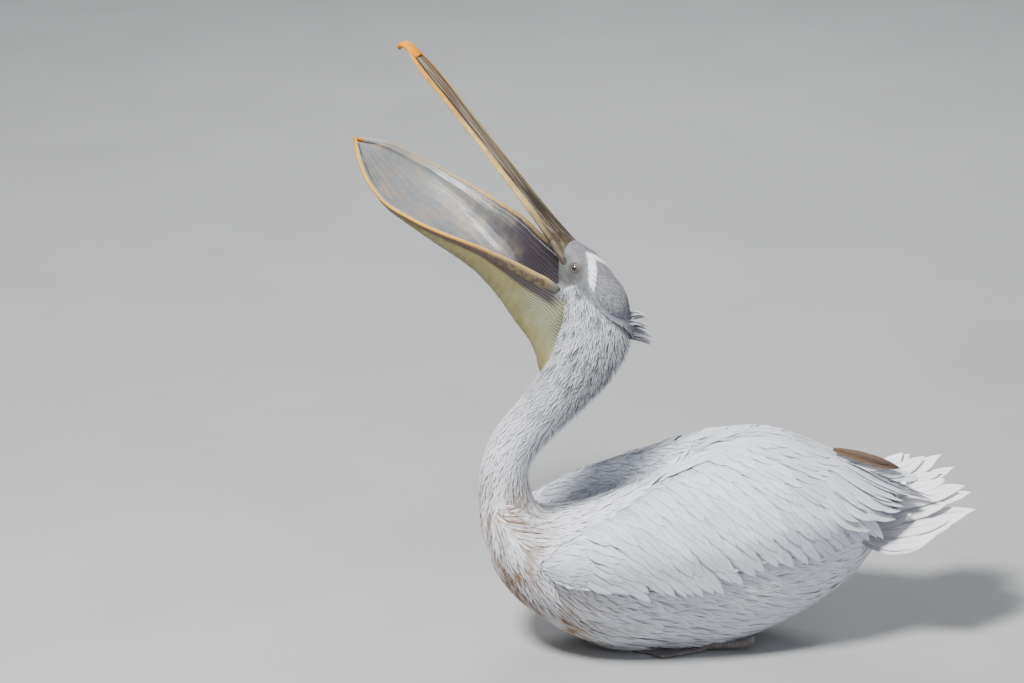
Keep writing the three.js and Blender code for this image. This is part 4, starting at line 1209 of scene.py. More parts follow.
for side, nm in ((-1, "left"), (1, "right")):
    items = []
    for r, e_row in enumerate(range(-17, 236, 15)):
        x = -238 + rng.uniform(0, 22)
        while x < 352:
            size = float(smooth(-225, -20, x))
            long = mix(24, 142, size) * rng.uniform(0.84, 1.12)
            half = mix(4.6, 12.2, size) * rng.uniform(0.86, 1.1)
            ang = mix(15, 55, float(smooth(-225, -40, x)))
            ang *= mix(1.0, 0.62, float(smooth(60, 260, x)) * float(smooth(10, 150, e_row)))
            ang = (ang + rng.normal(0, 1.6)) * rad
            step = 1.12 * half / math.sin(max(ang, 0.3))
            arc = float(_wing_arc[int(clamp(round((x + 270) / 6), 0, 111)), 0])
            e_tip = e_row * mix(0.8, 1.0, size) + rng.normal(0, 4.0) - (abs(rng.normal(0, 7)) * size if r == 0 else 0)
            e_tip = max(e_tip, mix(2.0, -40, float(smooth(-150, -40, x))))
            odd = r % 2 == 1
            behind = float(_wing_arc[int(clamp(round((x - long * math.cos(ang) + 270) / 6), 0, 111)), 0])
            long = min(long, max(1.0, behind - mix(46, 30, size) - e_tip) / math.sin(ang))
            room = long > mix(34, 50, size)
            if size > 0.22 and room and e_tip < arc - 34 and not (odd and x > -60) and x < mix(318, 352, float(smooth(0, 120, e_row))):
                top = mix(0.5, 1.0, size) * (0.9 + 0.2 * r) + rng.uniform(-0.3, 0.4)
                pts, up = covert(x, e_tip, long, half, ang, side, top)
                base = marks(np.array([pts[6]]), np.array([3 if side < 0 else 4]), np.array([[0.3, 0.5]]))[0]
                g = rng.uniform(0.89, 1.06)
                # rim: painted shade along the covert's edges
                items.append(dict(
                    spine=pts, up=up, half=half * MM, thick=0.001, kind="blade",
                    tint=base * 0.94 * g, tip=np.clip(base * 1.06 * g, 0, 1), rim=np.clip(base * 0.92 * g, 0, 1), seed=rng.uniform(0, 6),
                ))
            x += step * rng.uniform(0.6, 1.4)
    for r, c0 in enumerate((4, 13, 23, 34, 46)):
        x = (-70 if side < 0 else 96) + 12 * r + rng.uniform(0, 22)
        while x < 366 - 5 * r:
            long = mix(60, 104, float(smooth(-60, 120, x))) * rng.uniform(0.85, 1.12)
            over = 3.0 - 0.15 * r - (2.7 if r > 1 else 0.8) * float(smooth(190, 0, x)) - (1.6 if side > 0 else 0.0) * float(smooth(240, 90, x))
            c0_ = c0 + (5 if side > 0 else 0) + rng.normal(0, 1.2)
            pts, up = along_ridge(x, c0_, c0_ + 5 + 3 * r + rng.normal(0, 1.6), long, side, over + rng.uniform(-0.3, 0.4))
            base = marks(np.array([pts[6]]), np.array([3 if side < 0 else 4]), np.array([[0.3, 0.5]]))[0]
            g = rng.uniform(0.91, 1.05)
            # rim: painted shade along the covert's edges
            items.append(dict(
                spine=pts, up=up, half=mix(6.2, 8.8, float(smooth(-60, 120, x))) * rng.uniform(0.88, 1.1) * MM, thick=0.001, kind="blade", belly=0.2,
                tint=base * 0.96 * g, tip=np.clip(base * 1.04 * g, 0, 1), rim=np.clip(base * 0.93 * g, 0, 1), seed=rng.uniform(0, 6),
            ))
            x += rng.uniform(18, 30)
    print("coverts", nm, len(items))
    blades("long_coverts_" + nm, items, "plumage", rows=12, belly=0.05, mat=MAT_COVERT)

for side, nm in ((-1, "left"), (1, "right")):
    items = []
    for layer, (count, back, lift, run0, run1) in enumerate([(9, 0, 0.0, 186, 126), (8, 30, 1.5, 170, 120), (8, 62, 3.0, 160, 112)]):
        for i in range(count):
            f = clamp((i + 0.5 * (layer % 2)) / (count - 0.5), 0, 1)
            qt = mix(0.10, 1.0, f**0.9)
            xt = mix(402, 306, f**1.25) - back + rng.uniform(-14, 6)
            qs, xs = max(0.02, qt - mix(0.16, 0.62, f)), xt - mix(run0, run1, f)
            pts, ups = [], []
            for t in np.linspace(0, 1, 12):
                x, qq = mix(xs, xt, t), mix(qs, qt, t**1.15)
                p, o = wing_out(min(x, 396), clamp(qq, 0.02, 0.99), side, lift - 9 + 9 * min(1, t * 1.5) + 0.12 * (count - i) * t + 2.0 * t * t)
                p[0] = x * MM
                pts.append(p)
                ups.append(o)
            # the free tips run on straight past the edge
            if qt > 0.9:
                pts.append(pts[-1] + unit(pts[-1] - pts[-3]) * 0.012)
                ups.append(ups[-1])
            g = rng.uniform(0.9, 1.05)
            items.append(dict(
                spine=pts, up=np.mean(ups, 0), half=mix(14.5, 11.5, f) * MM * rng.uniform(0.85, 1.05), thick=0.0011, kind="blade",
                tint=lin(200, 203, 212) * g, tip=lin(226, 227, 233) * g, rim=lin(206, 208, 215), seed=rng.uniform(0, 6),
            ))
    blades("quills_" + nm, items, "quills", ("quills_" + nm,), rows=13, belly=0.04)


# tail
def tail_mid(k, t, tipx=None):
    tx = 462 - 66 * k * k - 10 * math.sin(5 * k + 1) if tipx is None else tipx
    x = mix(262 + 12 * k * k, tx, t)
    y = mix(70, 119, t) * k
    bow = 14 * math.sin(math.pi * min(1, 0.5 + 0.5 * t)) * (1 - k * k)
    sag = 16 * math.sin(math.pi * t) * max(0, -k)
    z = mix(186 + 8 * k, 240 + 36 * k - 8 * k * k + 5 * math.cos(9 * k + 1), t**0.95) + bow - sag
    return np.array([x, y, z])


items = []
for layer, (count, lift, short) in enumerate([(11, 0.0, 0), (8, 2.6, 12), (4, 5.0, 88)]):
    for i in range(count):
        k = mix(-1, 1, i / (count - 1)) * (0.93, 0.9, 0.5)[layer]
        tipx = 462 - 66 * k * k - 10 * math.sin(5 * k + 1) - short - rng.uniform(-3, 30)
        bend = rng.uniform(-0.07, 0.07)
        pts = [(tail_mid(clamp(k + bend * t * t, -1, 1), t, tipx) + np.array([0, 0, lift + 2.2 * (1 - abs(k)) * t])) * MM for t in np.linspace(0, 1, 12)]
        g = rng.uniform(0.94, 1.04)
        items.append(dict(
            spine=pts, up=unit(np.array([-0.27, -0.34, 1])), half=0.0196 * rng.uniform(0.85, 1.08), thick=0.0014, kind="blade",
            tint=lin(220, 221, 227) * g, tip=lin(244, 244, 246) * g, rim=lin(236, 237, 240), seed=rng.uniform(0, 6),
        ))
blades("tail_feathers", items, "quills", ("tail",), rows=13, belly=0.06)

# crest: a few pointed locks off the nape, each of some narrow plumes drawn together at the tip
items = []
for lock in range(9):
    qq = (lock + 0.3 + 0.4 * rng.random()) / 9
    fan = rng.normal(0, 0.8)
    at = np.array([mix(-116, -94, qq) - 12, -2 + 3 * fan, mix(573, 528, qq)])
    reach = 46 * (1 - 0.3 * qq) * rng.uniform(0.75, 1.05)
    drop = mix(0.0, 0.55, qq) + rng.uniform(-0.06, 0.06)
    for strand in range(7):
        o = rng.normal(0, 1, 3) * [2.0, 2.6, 3.2]
        hit = SKIN_TREE.find_nearest(Vector((at + o) * MM))
        root = np.array(hit[0]) - np.array(hit[1]) * 0.0015
        tipp = (at + np.array([reach * rng.uniform(0.86, 1.0) + 8, fan * 4, -reach * drop]) + o * 0.18) * MM
        pts = []
        for t in np.linspace(0, 1, 8):
            pts.append(root * (1 - t) + tipp * t + np.array([0, 0, 0.10 * reach * math.sin(math.pi * t)]) * MM)
        g = rng.uniform(0.8, 1.12)
        items.append(dict(
            spine=pts, up=np.array([0.4, rng.uniform(-0.9, 0.2), 1]), half=0.0023 * rng.uniform(0.8, 1.3), thick=0.001, kind="blade",
            tint=lin(160, 161, 167) * g, tip=lin(198, 199, 204) * g, rim=lin(134, 135, 141), seed=lock * 7 + strand,
        ))
# the nape: soft flat plumes laid over one another, running down into the crest
for layer in range(6):
    for i in range(22):
        beta = clamp((i + 0.5 + rng.uniform(-0.3, 0.3)) / 11 - 1, -1, 1)
        sg, ab = (1 if beta > 0 else -1), abs(beta)
        end = np.array([mix(-92, -160, ab), sg * mix(0, 30, ab**0.7), mix(519, 592, ab)])
        long = mix(46, 28, ab) * rng.uniform(0.85, 1.1)
        lie_ = unit(np.array([0.52, 0, -0.85]))
        end = end - lie_ * (layer * mix(9.0, 6.0, ab) + rng.uniform(0, 4))
        off_ = mix(9.0, 1.6, ab**0.6) * (1 - layer / 6.5) + 1.2
        pts, ups = [], []
        for t in np.linspace(0, 1, 9):
            at = (end - lie_ * long * (1 - t)) * MM
            hit = SKIN_TREE.find_nearest(Vector(at))
            h0, hn = np.array(hit[0]), np.array(hit[1])
            pts.append(h0 + hn * (mix(-0.4, off_, t**1.3)) * MM)
            ups.append(hn)
        pts[-1] = pts[-1] + lie_ * 2 * MM
        g = rng.uniform(0.9, 1.08)
        items.append(dict(
            spine=pts, up=np.array(ups), half=mix(4.2, 3.0, ab) * MM * rng.uniform(0.8, 1.15), thick=0.0007, kind="lance",
            tint=lin(118, 119, 126) * g, tip=lin(140, 141, 148) * g, rim=lin(100, 101, 108) * g, seed=i + 31 * layer,
        ))
blades("crest_plumes", items, "grey_plumage", ("crest",), rows=9, belly=0.05, mat=MAT_FEATHER)

# one worn brown feather lying over the rear of the right wing
items = []
for k in range(7):
    wide, late = (0.0096, 1.0) if k == 0 else (rng.uniform(0.0020, 0.0034), rng.uniform(0.78, 1.0))
    start, slip, droop = (0.0, 0.0, 0.0) if k == 0 else (rng.uniform(0.1, 0.5), rng.uniform(-0.05, 0.05), rng.uniform(-3, 4))
    pts = [
        wing_out(mix(234, 352, t), mix(0.2, 0.24, t) + slip * (0.4 + 0.6 * t), 1, 13 + 0.3 * k + 5 * math.sin(math.pi * t) + 3 * t + droop * t * t)[0]
        for t in np.linspace(start, late, 10)
    ]
    g = rng.uniform(0.75, 1.2)
    items.append(dict(
        spine=pts, up=np.array([0, -0.9, 0.75]), half=wide, thick=0.0012, kind="blade",
        tint=lin(104, 84, 66) * g, tip=lin(78, 60, 48) * g, rim=lin(140, 122, 104) * g, seed=1.0 + k,
    ))
blades("worn_feather", items, "quills", rows=12, belly=0.12)


# ------------------------------------------------------------------ bill
def loft_uv(nu, nv):
    rows = [[0.0, 0.0]]
    for j in range(1, nv):
        rows += [[i / nu, j / nv] for i in range(nu)]
    return np.array(rows + [[0.0, 1.0]])


upper_half = table([0, 0.06, 0.16, 0.35, 0.55, 0.75, 0.88, 0.95, 1], [26, 23.5, 20.5, 18.6, 17.8, 18, 17.6, 14, 9.5])
upper_top = table([0, 0.06, 0.16, 0.35, 0.6, 0.85, 1], [16, 13, 10, 7.5, 6, 5.2, 4.5])
upper_low = table([0, 0.06, 0.16, 0.35, 0.6, 0.85, 1], [19, 14.5, 9.5, 6.4, 5, 4.4, 4])
upper_line = table([0, 0.25, 0.5, 0.75, 1], [-3, -1.5, -0.5, -1, -4])


def upper_at(u, v):
    t = mix(-0.03, 1, mix(v, 0.5 - 0.5 * math.cos(math.pi * v), 0.35))
    a, w = BILL["base"] + clamp(t, -1, 1) * 400, clamp(t, 0, 1)
    a = BILL["base"] + t * BILL["upper"]
    if v in (0, 1):
        return tuple(head_point(a, 0, float(upper_line(w))))
    c, s = math.cos(u * 2 * math.pi), math.sin(u * 2 * math.pi)
    ridge = 1 - 0.25 * abs(c) if s > 0 else 1 - 0.45 * s * s * (1 - abs(c))
    # a ridged culmen between two shallow grooves, and a keeled palate
    groove = 1 - 0.16 * math.exp(-(((abs(c) - 0.5) / 0.14) ** 2)) * (s > 0) * clamp(w * 6, 0, 1)
    palate = 1 - 0.3 * math.exp(-(((abs(c) - 0.62) / 0.16) ** 2)) * (s < 0)
    half = math.copysign(abs(c) ** 0.8, c) * float(upper_half(w))
    tall = s * ridge * groove * palate * float(upper_top(w) if s > 0 else upper_low(w))
    return tuple(head_point(a, half, float(upper_line(w)) + tall))


def shape_at(fn, nu, nv, name):
    v, f, _ = loft(fn, nu, nv)
    f = outward(v, f)
    return new_object(name, v, f), v, loft_uv(nu, nv)


bill, bv, buv = shape_at(upper_at, 128, 260, "bill_upper")
a_, s_, h_ = head_coords(bv)
w_ = np.clip((a_ - BILL["base"]) / BILL["upper"], 0, 1)
ang = (buv[:, 0] * 2 * np.pi + np.pi) % (2 * np.pi) - np.pi  # 0 left tomium? sin gives height
top_ = np.sin(ang)
long_noise = wavy(np.stack([a_ * 0.05, s_ * 1.2, h_ * 1.2], 1) * MM, 0.0022)
spots = wavy(np.stack([a_ * 0.7, s_, h_], 1) * MM, 0.004)
c0 = np.tile(lin(50, 43, 40), (len(bv), 1))
c0 = blend_cols(c0, np.tile(lin(146, 136, 124), (len(bv), 1)), np.clip(0.15 + 1.1 * long_noise, 0, 1) * 0.75)
c0 = blend_cols(c0, np.tile(lin(86, 72, 52), (len(bv), 1)), smooth(0.3, 0.03, w_) * (0.5 + 0.4 * spots))
c0 = blend_cols(c0, np.tile(lin(46, 36, 30), (len(bv), 1)), smooth(0.1, 0.6, spots) * smooth(0.36, 0.08, w_) * 0.7)
c0 = blend_cols(c0, np.tile(lin(120, 100, 82), (len(bv), 1)), np.exp(-((np.abs(np.cos(ang)) - 0.12) / 0.2) ** 2) * (top_ > 0) * smooth(0.2, 0.5, w_) * 0.5)
across = s_ / np.maximum(upper_half(w_), 1)
rim = np.maximum(smooth(0.58, 0.70, across), smooth(-0.62, -0.74, across)) * smooth(0.08, 0.34, w_) * (top_ > -0.5)
rimc = blend_cols(np.tile(lin(184, 160, 92), (len(bv), 1)), np.tile(lin(186, 124, 6), (len(bv), 1)), smooth(0.5, 0.98, w_))
c0 = blend_cols(c0, rimc, np.clip(rim * (0.85 + 0.25 * spots), 0, 1))
under = smooth(-0.35, -0.75, top_)
c0 = blend_cols(c0, np.tile(lin(150, 128, 104), (len(bv), 1)), under * 0.9)
c0 = blend_cols(c0, np.tile(lin(190, 134, 20), (len(bv), 1)), smooth(0.95, 1.0, w_) * 0.6)
set_colour(bill, np.clip(c0, 0, 1))
bill.data.materials.append(MAT_HORN)
finish_piece(bill, "bill_horn", "bill_upper")

# nail
nail_curve = Curve([head_point(*p) for p in ((422, 0, -2), (438, 0, -2.5), (450, 0, -6), (455, 0, -14), (454, 0, -25))])
nail_half = table([0, 0.2, 0.45, 0.7, 0.9, 1], [7.5, 9.6, 9, 6.4, 3.8, 1.4])


def nail_at(u, v):
    p, t = nail_curve.at(v), nail_curve.tangent(v)
    left = S
    up = unit(np.cross(left, t))
    if v in (0, 1):
        return tuple(p)
    c, s = math.cos(u * 2 * math.pi), math.sin(u * 2 * math.pi)
    return tuple(p + left * c * float(nail_half(v)) + up * s * mix(6.6, 3.6, v))


nail, nv2, nuv = shape_at(nail_at, 40, 48, "bill_nail")
nn_ = wavy(nv2, 0.004)
c0 = blend_cols(np.tile(lin(206, 128, 0), (len(nv2), 1)), np.tile(lin(196, 114, 0), (len(nv2), 1)), np.clip(0.4 + 0.4 * nn_, 0, 1))
c0 = blend_cols(c0, np.tile(lin(150, 78, 34), (len(nv2), 1)), smooth(0.8, 1.0, nuv[:, 1]) * 0.6)
c0 = blend_cols(c0, np.tile(lin(190, 118, 4), (len(nv2), 1)), smooth(0.2, 0.0, nuv[:, 1]) * 0.6)
set_colour(nail, c0)
nail.data.materials.append(MAT_NAIL)
finish_piece(nail, "nail_horn", "bill_nail")

# lower jaw: two springy straps that meet at the tip
jaw_half = table(
    [0, 0.06, 0.12, 0.2, 0.3, 0.4, 0.5, 0.6, 0.7, 0.8, 0.87, 0.92, 0.96, 0.985, 1],
    [33, 35, 39, 45, 55.5, 62.5, 68.5, 72, 72.5, 62.7, 49, 34, 18, 7, 0],
)
jaw_sag = table([0, 0.12, 0.3, 0.4, 0.5, 0.6, 0.7, 0.8, 0.87, 0.92, 1], [6, 3, 3, -1, -7, -11.5, -15, -12.5, -6.5, -2, 0])
strap_tall = table([0, 0.1, 0.3, 0.5, 0.75, 1], [13, 15, 13, 8.5, 5, 4])
strap_thick = table([0, 0.3, 0.75, 1], [4.4, 4, 3.4, 4.2])
strap_lean = table([0, 0.25, 0.6, 1], [6, 14, 42, 60])


def strap_mid(t, side):
    return np.array([t * BILL["jaw"], side * float(jaw_half(t)), float(jaw_sag(t))])


def jaw_at(u, v):
    run = mix(-1, 1, v)
    side = -1 if run < 0 else 1
    t = 1 - abs(run) ** 0.8
    m = strap_mid(t, side)
    if v in (0, 1):
        return tuple(jaw_point(-3, m[1], m[2]))
    d = strap_mid(t + 0.004, side) - strap_mid(t - 0.004, side)
    ln = math.hypot(d[0], d[1]) or 1
    b = float(smooth(0.93, 1, t))
    ox, oy = mix(-side * d[1] / ln, 1, b), mix(side * d[0] / ln, 0, b)
    k = math.hypot(ox, oy) or 1
    ox, oy = ox / k, oy / k
    close = mix(0.76, 1.0, float(smooth(0.0, 0.06, t)))
    tall, thick = close * float(strap_tall(t)) * math.sin(u * 2 * math.pi), close * float(strap_thick(t)) * math.cos(u * 2 * math.pi)
    lean = float(strap_lean(t)) * rad
    out = tall * math.sin(lean) + thick * math.cos(lean)
    up = tall * math.cos(lean) - thick * math.sin(lean)
    return tuple(jaw_point(m[0] + ox * out, m[1] + oy * out, m[2] + up))


jaw, jv, juv = shape_at(jaw_at, 40, 420, "bill_lower")
run_ = mix(-1, 1, juv[:, 1])
t_ = 1 - np.abs(run_) ** 0.8
sj, cj = np.sin(juv[:, 0] * 2 * np.pi), np.cos(juv[:, 0] * 2 * np.pi)
sp = wavy(jv, 0.006)
sp2 = wavy(jv, 0.0025)
outer = np.tile(lin(88, 64, 64), (len(jv), 1))
outer = blend_cols(outer, np.tile(lin(110, 96, 73), (len(jv), 1)), smooth(0.42, 0.16, t_))
outer = blend_cols(outer, np.tile(lin(50, 38, 32), (len(jv), 1)), np.maximum(smooth(0.15, 0.5, sp2) * 0.7, smooth(0.1, 0.6, sp) * 0.6) * smooth(0.5, 0.2, t_))
inner = blend_cols(np.tile(lin(70, 58, 68), (len(jv), 1)), np.tile(lin(134, 138, 142), (len(jv), 1)), smooth(0.3, 0.75, t_))
c0 = blend_cols(inner, outer, smooth(-0.3, 0.3, cj))
# the strap's lower outer edge darker where it meets the pouch: painted shade
c0 = blend_cols(c0, np.tile(lin(70, 58, 64), (len(jv), 1)), smooth(-0.45, -0.85, sj) * smooth(-0.3, 0.3, cj) * 0.8)
yellow = blend_cols(np.tile(lin(146, 128, 88), (len(jv), 1)), np.tile(lin(192, 148, 36), (len(jv), 1)), smooth(0.15, 0.5, t_))
c0 = blend_cols(c0, yellow, smooth(0.5, 0.82, sj + 0.08 * sp2))
c0 = blend_cols(c0, np.tile(lin(190, 124, 20), (len(jv), 1)), smooth(0.965, 0.99, t_) * 0.9)
c0 = blend_cols(c0, np.tile(lin(84, 84, 84), (len(jv), 1)), smooth(0.055, 0.008, t_ + 0.012 * sp) * 0.85)
set_colour(jaw, np.clip(c0, 0, 1))
jaw.data.materials.append(MAT_JAW)
finish_piece(jaw, "bill_horn", "bill_lower")

# ------------------------------------------------------------------ pouch: a thin bag slung under the straps
pouch_deep = table(
    [-0.17, -0.074, -0.036, 0.03, 0.115, 0.204, 0.282, 0.342, 0.437, 0.52, 0.6, 0.7, 0.8, 0.9, 0.96, 1],
    [138, 128, 119, 110, 103, 89, 75, 66, 55, 46, 37, 28, 20, 12, 8, 6],
)
pouch_swing = table([-0.17, -0.074, -0.036, 0.03, 0.115, 0.204, 0.282, 0.342, 0.52], [84, 66, 54, 38, 24, 12, 6, 3, 0])
PQ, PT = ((150, 320))


def pouch_face(inner):
    q_ = np.linspace(0, 1, PQ + 1)
    t01 = np.linspace(0, 1, PT + 1)
    Q, T = np.meshgrid(q_, t01, indexing="ij")
    t = mix(-0.17, 0.984, T)
    tc = np.clip(t, 0, 1)
    a = Q * np.pi
    c = np.cos(a)
    hang = np.maximum(np.sin(a), 0) ** 0.84
    inset = 2.4 * inner
    # fine folds: crosswise pleats outside, long ribs inside
    fold = np.sin(Q * 3.1 + 190 * t + 2.2 * np.sin(9 * Q + 6 * t) + 1.3 * np.sin(31 * t)) * 0.55 + 0.35 * np.sin(91 * t + 5 * Q + 1.5 * np.sin(14 * Q))
    rib = 0.45 * np.sin(88 * Q + 2.0 * np.sin(11 * t) + 0.8 * np.sin(37 * t)) + 0.25 * np.sin(41 * Q + 9 * t)
    soft = hang * np.clip((1 - T) * 12, 0, 1)
    rough_ = (0.62 * fold if not inner else 0.5 * rib) * soft
    w = jaw_half(tc) - inset + rough_ * np.abs(c)
    # the upper corners behind the hinge are tucked into the cheeks
    w = w * (1 - 0.5 * smooth(-0.035, -0.11, t) * smooth(0.24, 0.08, np.minimum(Q, 1 - Q)))
    d = pouch_deep(t) - inset + rough_ * hang
    A = t * BILL["jaw"]
    climb, swung = 0.0, hang
    if inner:
        lean_, tall_, thick_ = strap_lean(tc) * rad, strap_tall(tc), strap_thick(tc)
        fade = smooth(0.975, 0.9, t) * smooth(-0.02, 0.04, t)
        h1 = 0.15
        k1, k2 = np.clip(hang / h1, 0, 1), smooth(0.97, h1, hang)
        out_t, up_t = 0.5 * tall_ * np.sin(lean_) - thick_ * np.cos(lean_) - 0.7, 0.5 * tall_ * np.cos(lean_) + thick_ * np.sin(lean_) + 0.4
        out_b, up_b = -0.98 * tall_ * np.sin(lean_) - thick_ * np.cos(lean_) - 0.7, -0.98 * tall_ * np.cos(lean_) + thick_ * np.sin(lean_)
        w = w + fade * ((out_t * (1 - k1) + out_b * k1) * k2 + inset * (1 - k1))
        climb = fade * (up_t * (1 - k1) + up_b * k1) * k2
        hang_d = hang * (1 - fade) + np.clip((hang - h1) / (1 - h1), 0, 1) * fade
        d = d * hang_d / np.maximum(hang, 1e-6)
        swung = hang_d
    Sx = w * np.sign(c) * np.abs(c) ** 0.84 + pouch_swing(t) * swung
    H = jaw_sag(tc) - d * hang + climb
    P = HINGE + A[..., None] * JF + Sx[..., None] * S + H[..., None] * JU
    return P * MM, Q, t, fold, rib


Po, Qo, To, fold_o, rib_o = pouch_face(0)
Pi, Qi, Ti, fold_i, rib_i = pouch_face(1)
n1, n2 = PQ + 1, PT + 1
verts = np.concatenate([Po.reshape(-1, 3), Pi.reshape(-1, 3)])
idx = np.arange(n1 * n2).reshape(n1, n2)
off = n1 * n2
quads = [np.stack([idx[:-1, :-1], idx[1:, :-1], idx[1:, 1:], idx[:-1, 1:]], -1).reshape(-1, 4)]
quads.append(np.stack([idx[:-1, :-1], idx[:-1, 1:], idx[1:, 1:], idx[1:, :-1]], -1).reshape(-1, 4) + off)
for line, rev in ((idx[0, :], 0), (idx[-1, :], 1), (idx[:, 0], 1), (idx[:, -1], 0)):
    a, b = line[:-1], line[1:]
    qd = np.stack([a, b, b + off, a + off], -1)
    quads.append(qd if not rev else qd[:, ::-1])
quads = np.concatenate(quads)
pouch = new_object("pouch", verts, outward(verts, [tuple(x) for x in quads.tolist()]))


def pouch_colour(P, Q, t, fold, rib, inner):
    P = P.reshape(-1, 3)
    Q, t, fold, rib = Q.ravel(), t.ravel(), fold.ravel(), rib.ravel()
    keel = np.exp(-(((Q - 0.5) / 0.13) ** 2))
    edge = np.minimum(Q, 1 - Q)
    blot = wavy(P, 0.012)
    n = len(P)
    if not inner:
        c = np.tile(lin(128, 120, 70), (n, 1))
        c = blend_cols(c, np.tile(lin(146, 142, 98), (n, 1)), np.clip(0.4 + 0.5 * blot, 0, 1))
        c = blend_cols(c, np.tile(lin(104, 97, 50), (n, 1)), smooth(0.2, 0.44, edge) * 0.6)
        c = blend_cols(c, np.tile(lin(166, 98, 34), (n, 1)), np.exp(-(((Q - 0.5) / 0.1) ** 2)) * 0.85 * smooth(-0.05, 0.25, t))
        c = blend_cols(c, np.tile(lin(118, 127, 114), (n, 1)), smooth(0.24, 0.02, t) * smooth(0.3, 0.1, edge) * 0.6)
        fold_w = mix(0.066, 0.022, smooth(0.14, 0.42, t))
        c = blend_cols(c, np.tile(lin(50, 41, 49), (n, 1)), smooth(0, 0.02, fold_w - edge) * smooth(-0.05, 0.02, t) * 0.92)
        # 3 % darker in the troughs of the pleats: painted shade
        c = c * (0.97 + 0.03 * fold)[:, None]
    else:
        c = np.tile(lin(118, 125, 131), (n, 1))
        c = blend_cols(c, np.tile(lin(148, 138, 124), (n, 1)), np.clip(0.45 + 0.5 * blot, 0, 1))
        c = blend_cols(c, np.tile(lin(44, 36, 45), (n, 1)), smooth(0.6, 0.2, t + 0.05 * blot) * 0.93)
        c = blend_cols(c, np.tile(lin(124, 124, 130), (n, 1)), keel * 0.3)
        c = c * (0.96 + 0.05 * rib)[:, None]
    return np.clip(c, 0, 1)


set_uv(pouch, np.stack([np.concatenate([Qo.ravel(), Qi.ravel()]), np.concatenate([To.ravel(), Ti.ravel()])], 1), "lie")
set_colour(pouch, np.concatenate([pouch_colour(Po, Qo, To, fold_o, rib_o, 0), pouch_colour(Pi, Qi, Ti, fold_i, rib_i, 1)]))
pouch.data.materials.append(MAT_POUCH)
pouch.data.materials.append(MAT_LINING)
mats = np.zeros(len(pouch.data.polygons), np.int32)
mats[PQ * PT : 2 * PQ * PT] = 1
pouch.data.polygons.foreach_set("material_index", mats)
finish_piece(pouch, "pouch_skin", "pouch")

# ------------------------------------------------------------------ eyes and lids
lid_parts = []
for (side, centre, gaze), nm in zip(EYES, ("left", "right")):
    ref = unit(np.cross(gaze, N))
    upv = unit(np.cross(ref, gaze))

    def ball_at(u, v):
        th, ph = math.pi * v, 2 * math.pi * u
        r = EYE["radius"] * (1 + 0.05 * math.exp(-((th / 0.45) ** 2)))
        d = gaze * math.cos(th) + (ref * math.cos(ph) + upv * math.sin(ph)) * math.sin(th)
        return tuple(centre / MM + d * r)

    ball, ev, euv = shape_at(ball_at, 48, 48, "eye_" + nm)
    th = euv[:, 1] * 180
    iris = np.tile(lin(82, 90, 93), (len(ev), 1))
    iris = blend_cols(iris, np.tile(lin(62, 66, 66), (len(ev), 1)), 0.5 + 0.5 * np.sin(euv[:, 0] * 2 * np.pi * 34) * smooth(16, 24, th))
    col = blend_cols(np.tile(lin(10, 9, 9), (len(ev), 1)), iris, smooth(20.0, 22.0, th))
    col = blend_cols(col, np.tile(lin(70, 54, 44), (len(ev), 1)), smooth(33, 38, th))
    set_colour(ball, col)
    ball.data.materials.append(MAT_EYE)
    finish_piece(ball, "eye", "eye_" + nm)

    # lids: a rounded fold round the opening, sinking into the face
    prof = [(52, 8.9), (44, 9.3), (41, 9.65), (42, 10.05), (46, 10.35), (51, 10.4), (56, 10.25), (60, 10.05), (66, 9.9), (76, 9.2), (88, 8.4), (72, 7.8)]
    M = 72
    verts, faces, cols = [], [], []
    for i in range(M):
        ph = 2 * math.pi * i / M
        squeeze = 1 + 0.05 * math.cos(2 * ph) - 0.03 * math.sin(ph)
        for j, (deg, r) in enumerate(prof):
            tt = deg * squeeze * rad
            rr = r + 0.12 * math.sin(ph * 23 + j) * (4 < j < 10)
            d = gaze * math.cos(tt) + (ref * math.cos(ph) + upv * math.sin(ph)) * math.sin(tt)
            verts.append(centre + d * rr * MM)
            cols.append((lin(40, 30, 26), lin(40, 30, 26), lin(48, 38, 32), lin(78, 64, 54), lin(122, 102, 84), lin(136, 114, 94), lin(132, 110, 92), lin(112, 92, 78), lin(76, 62, 56), lin(42, 35, 33), lin(50, 46, 45), lin(78, 79, 79))[j])
            k = len(prof)
            a, b = i * k + j, i * k + (j + 1) % k
            c_, d_ = ((i + 1) % M) * k + (j + 1) % k, ((i + 1) % M) * k + j
            faces.append((a, b, c_, d_))
    lid = new_object("lid_" + nm, verts, outward(np.array(verts), faces))
    set_colour(lid, np.array(cols))
    lid.data.materials.append(MAT_SKIN)
    lid_parts.append(lid)
# the lids are part of the skin
for lid in lid_parts:
    set_uv(lid, np.tile(FACE_UV[seat([EYE_L])[0]], (len(lid.data.vertices), 1)) + 0.0001 * rng.random((len(lid.data.vertices), 2)), "OFBake")
bpy.ops.object.select_all(action="DESELECT")
for lid in lid_parts:
    lid.select_set(True)
skin.select_set(True)
bpy.context.view_layer.objects.active = skin
bpy.ops.object.join()

